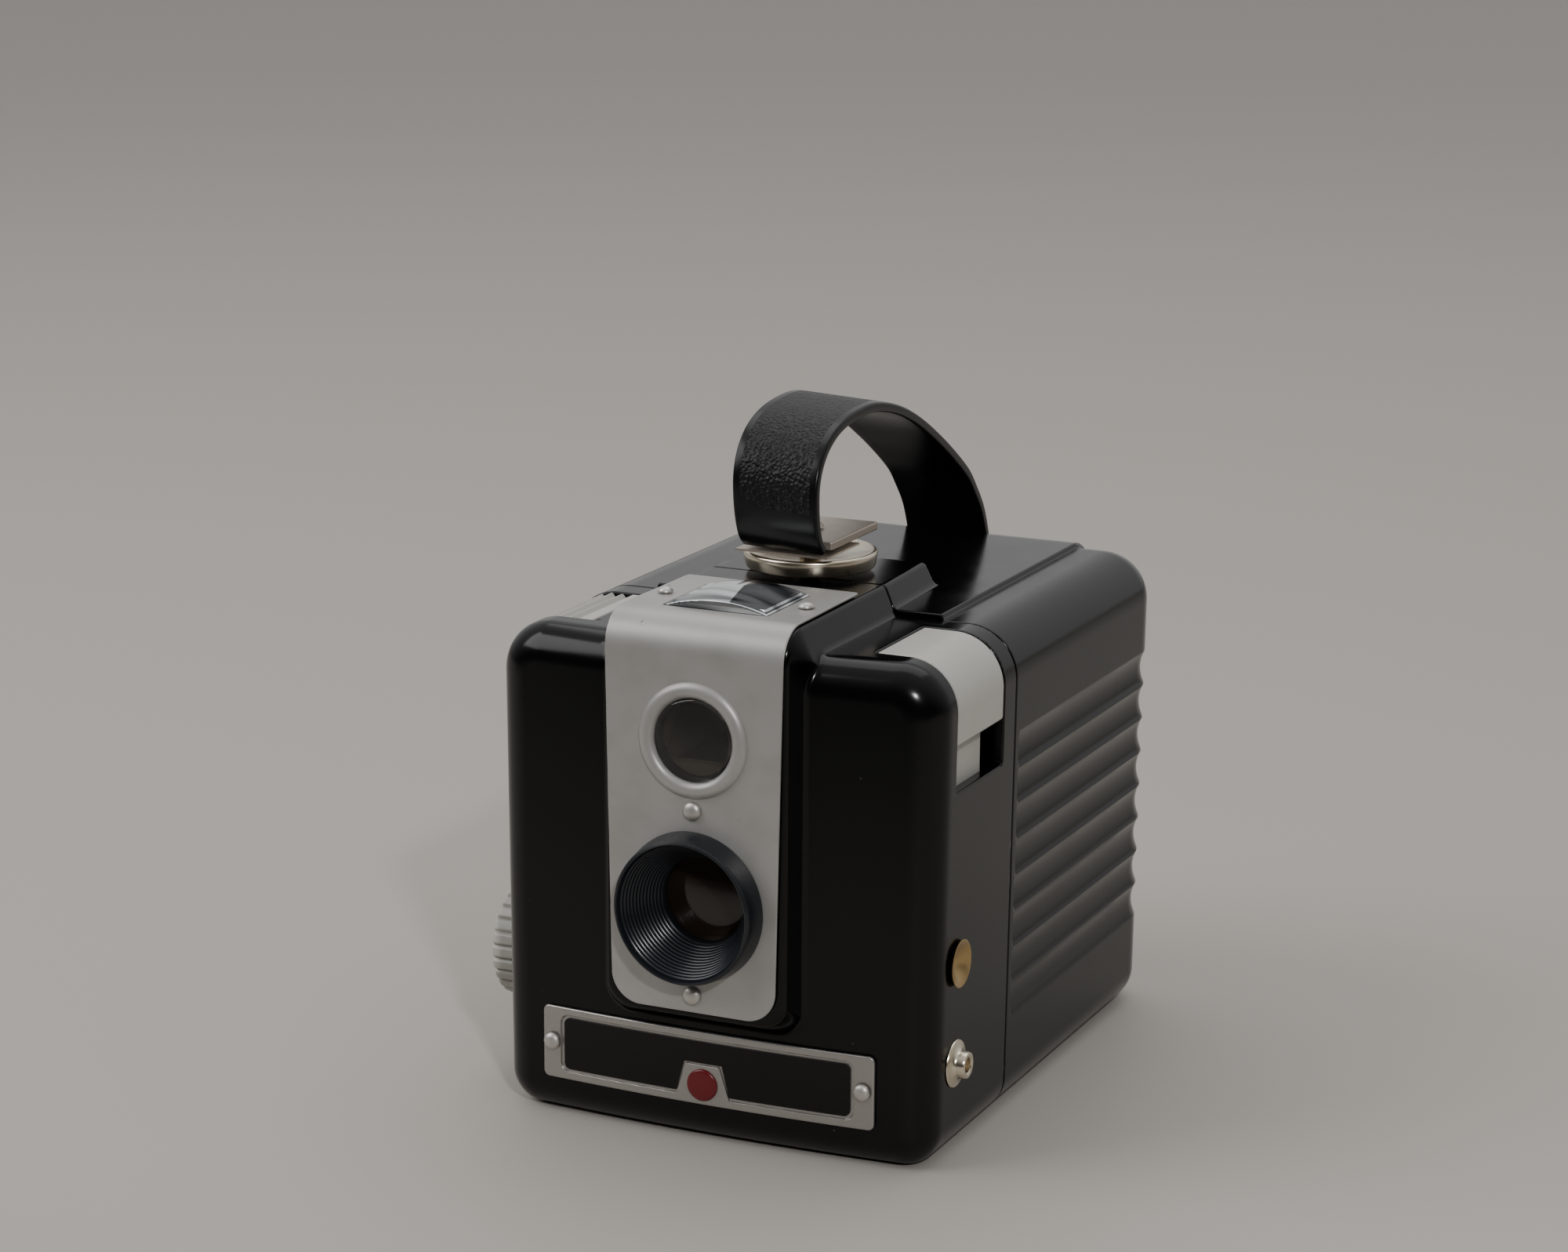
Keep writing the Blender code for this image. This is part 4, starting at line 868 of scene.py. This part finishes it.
# the loop leans a little to one side, and its start is turned on the clip
leaning = [strap["lean"] * math.sin(math.pi * min(k / 110.0, 1.0)) ** 2 for k in range(len(centreLine))]
turning = [strap["turn"] * max(1.0 - k / 32.0, 0.0) for k in range(len(centreLine))]
rings = []
for c, o, tilt, swing in zip(centreLine, outLine, leaning, turning):
    rings.append([(x, c[0] + o[0] * h - swing * x, c[1] + o[1] * h + tilt * (strap["half"] - x))
                  for x, h in section])
strapPiece = skinRings("strapPiece", rings, 40.0)
stands(strapPiece, "rear", strapPlastic("vinyl strap smooth", False), "strap_moulding", "strap")
strapPiece.data.materials.append(strapPlastic("vinyl strap grained", True))
for face in strapPiece.data.polygons:
    c = face.center
    spot = np.array([c.y * 1000.0 + frameOrigin[1], c.z * 1000.0])
    k = int(np.argmin(((centreLine - spot) ** 2).sum(1)))
    lifted = np.dot(spot - centreLine[k], outLine[k])
    onTop = lifted > 0.6 and abs(c.x) * 1000.0 < strap["half"] - strap["grainInset"]
    if onTop and strap["grainStart"] < k / strapSteps < strap["grainEnd"]:
        face.material_index = 1
report("latch, clip and strap")


finderBoxPaintedLight = plainFinish("card lining brown", "#6b5c4d", 0.6)  # warm brown, lightened as painted light seen through the finder window
kept = ((blackEnamel, "name_field"), (finderBoxPaintedLight, "finder_box"), (mirrorGlass, "finder_mirror"),
        (darkSteel, "shutter_disc"),
        (innerBlack, "lens_board film_carrier window_ring pressure_plate"), (redFilter, "red_window"),
        (nickel, "winding_shaft spool_spring_take_up spool_spring_supply spool_pin_supply latch_post"),
        (innerSteel, "take_up_spool supply_spool film_roller_upper film_roller_lower"),
        (innerSteel, "latch_hook latch_stud flash_strip_upper flash_strip_lower strap_anchor"),
        (innerSteel, "pressure_spring_upper pressure_spring_lower"),
        (wornSteel, "clip_leaf clip_rivet"))
for finish, names in kept:
    for name in names.split():
        dress(nodes[name], finish)
report("kept nodes")


def plainStage():
    # a pale board with painted shade: its colour darkens towards the viewer, so the black front stays dark
    floorMesh = bpy.data.meshes.new("floor")
    floorMesh.from_pydata([(-6, -6, 0), (6, -6, 0), (6, 6, 0), (-6, 6, 0)], [], [(0, 1, 2, 3)])
    floor = bpy.data.objects.new("floor", floorMesh)
    bpy.context.scene.collection.objects.link(floor)
    finish, tree, shader = newFinish("floor board pale", "#aea9a2", 0.6)
    shader.inputs["Specular IOR Level"].default_value = 0.2
    where = addNode(tree, "ShaderNodeTexCoord")
    parts = addNode(tree, "ShaderNodeSeparateXYZ", links={"Vector": where.outputs["Object"]})
    # painted shade: the board's colour darkens in front in place of light falling off
    paintedFalloff = addNode(tree, "ShaderNodeMapRange",
                   {"interpolation_type": "SMOOTHSTEP", "From Min": -0.06, "From Max": -0.5},
                   {"Value": parts.outputs["Y"]})
    tone = addNode(tree, "ShaderNodeMix", {"data_type": "RGBA"}, {"Factor": paintedFalloff.outputs["Result"]})
    tone.inputs["A"].default_value = fromHex("#aea9a2")
    tone.inputs["B"].default_value = fromHex("#48443f")
    tree.links.new(tone.outputs["Result"], shader.inputs["Base Color"])
    dress(floor, finish)


def softLight(name, place, aim, size, power, tint="#ffffff", spread=180.0):
    data = bpy.data.lights.new(name, "AREA")
    data.shape = "RECTANGLE"
    data.size, data.size_y = size
    data.energy = power
    data.color = fromHex(tint)[:3]
    data.spread = math.radians(spread)
    lamp = bpy.data.objects.new(name, data)
    lamp.location = place
    lamp.rotation_euler = (Vector(aim) - Vector(place)).to_track_quat("-Z", "Y").to_euler()
    bpy.context.scene.collection.objects.link(lamp)


def sky():
    world = bpy.data.worlds.new("studio")
    bpy.context.scene.world = world
    world.use_nodes = True
    tree = world.node_tree
    ground = tree.nodes["Background"]
    ground.inputs["Strength"].default_value = 0.75
    where = addNode(tree, "ShaderNodeTexCoord")
    lean = addNode(tree, "ShaderNodeVectorMath", {"operation": "DOT_PRODUCT"})
    lean.inputs[1].default_value = (-0.1, 0.5, 0.75)
    tree.links.new(where.outputs["Generated"], lean.inputs[0])
    level = addNode(tree, "ShaderNodeMapRange",
                    {"interpolation_type": "SMOOTHSTEP", "From Min": -0.25, "From Max": 0.8},
                    {"Value": lean.outputs["Value"]})
    tone = addNode(tree, "ShaderNodeMix", {"data_type": "RGBA"}, {"Factor": level.outputs["Result"]})
    tone.inputs["A"].default_value = fromHex("#363534")
    tone.inputs["B"].default_value = fromHex("#f6f6f6")
    tree.links.new(tone.outputs["Result"], ground.inputs["Color"])


camera = {"place": (0.29721, -0.63029, 0.26378), "look": (-0.40797517, 0.88272285, -0.23314507),
          "roll": 0.396, "lens": 86.79}


def setCamera():
    data = bpy.data.cameras.new("viewer")
    data.lens = camera["lens"]
    data.sensor_width = 36.0
    data.clip_start = 0.01
    eye = bpy.data.objects.new("viewer", data)
    look = Vector(camera["look"]).normalized()
    roll = Matrix.Rotation(math.radians(camera["roll"]), 3, "Z")
    aim = look.to_track_quat("-Z", "Y").to_matrix() @ roll
    eye.matrix_world = Matrix.Translation(Vector(camera["place"])) @ aim.to_4x4()
    bpy.context.scene.collection.objects.link(eye)
    bpy.context.scene.camera = eye


# a large window from the upper left, a softer one overhead and behind, a small lamp at the right
plainStage()
softLight("keyBox", (-0.95, -0.6, 0.95), (0.0, 0.0, 0.05), (0.9, 0.9), 9.5)
softLight("topBox", (-0.1, 0.6, 1.4), (0.0, 0.08, 0.05), (1.4, 1.0), 5.5)
softLight("spot", (0.55, -0.75, 0.62), (0.04, 0.0, 0.09), (0.06, 0.06), 4.5)
sky()
setCamera()

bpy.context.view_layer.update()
report("all")
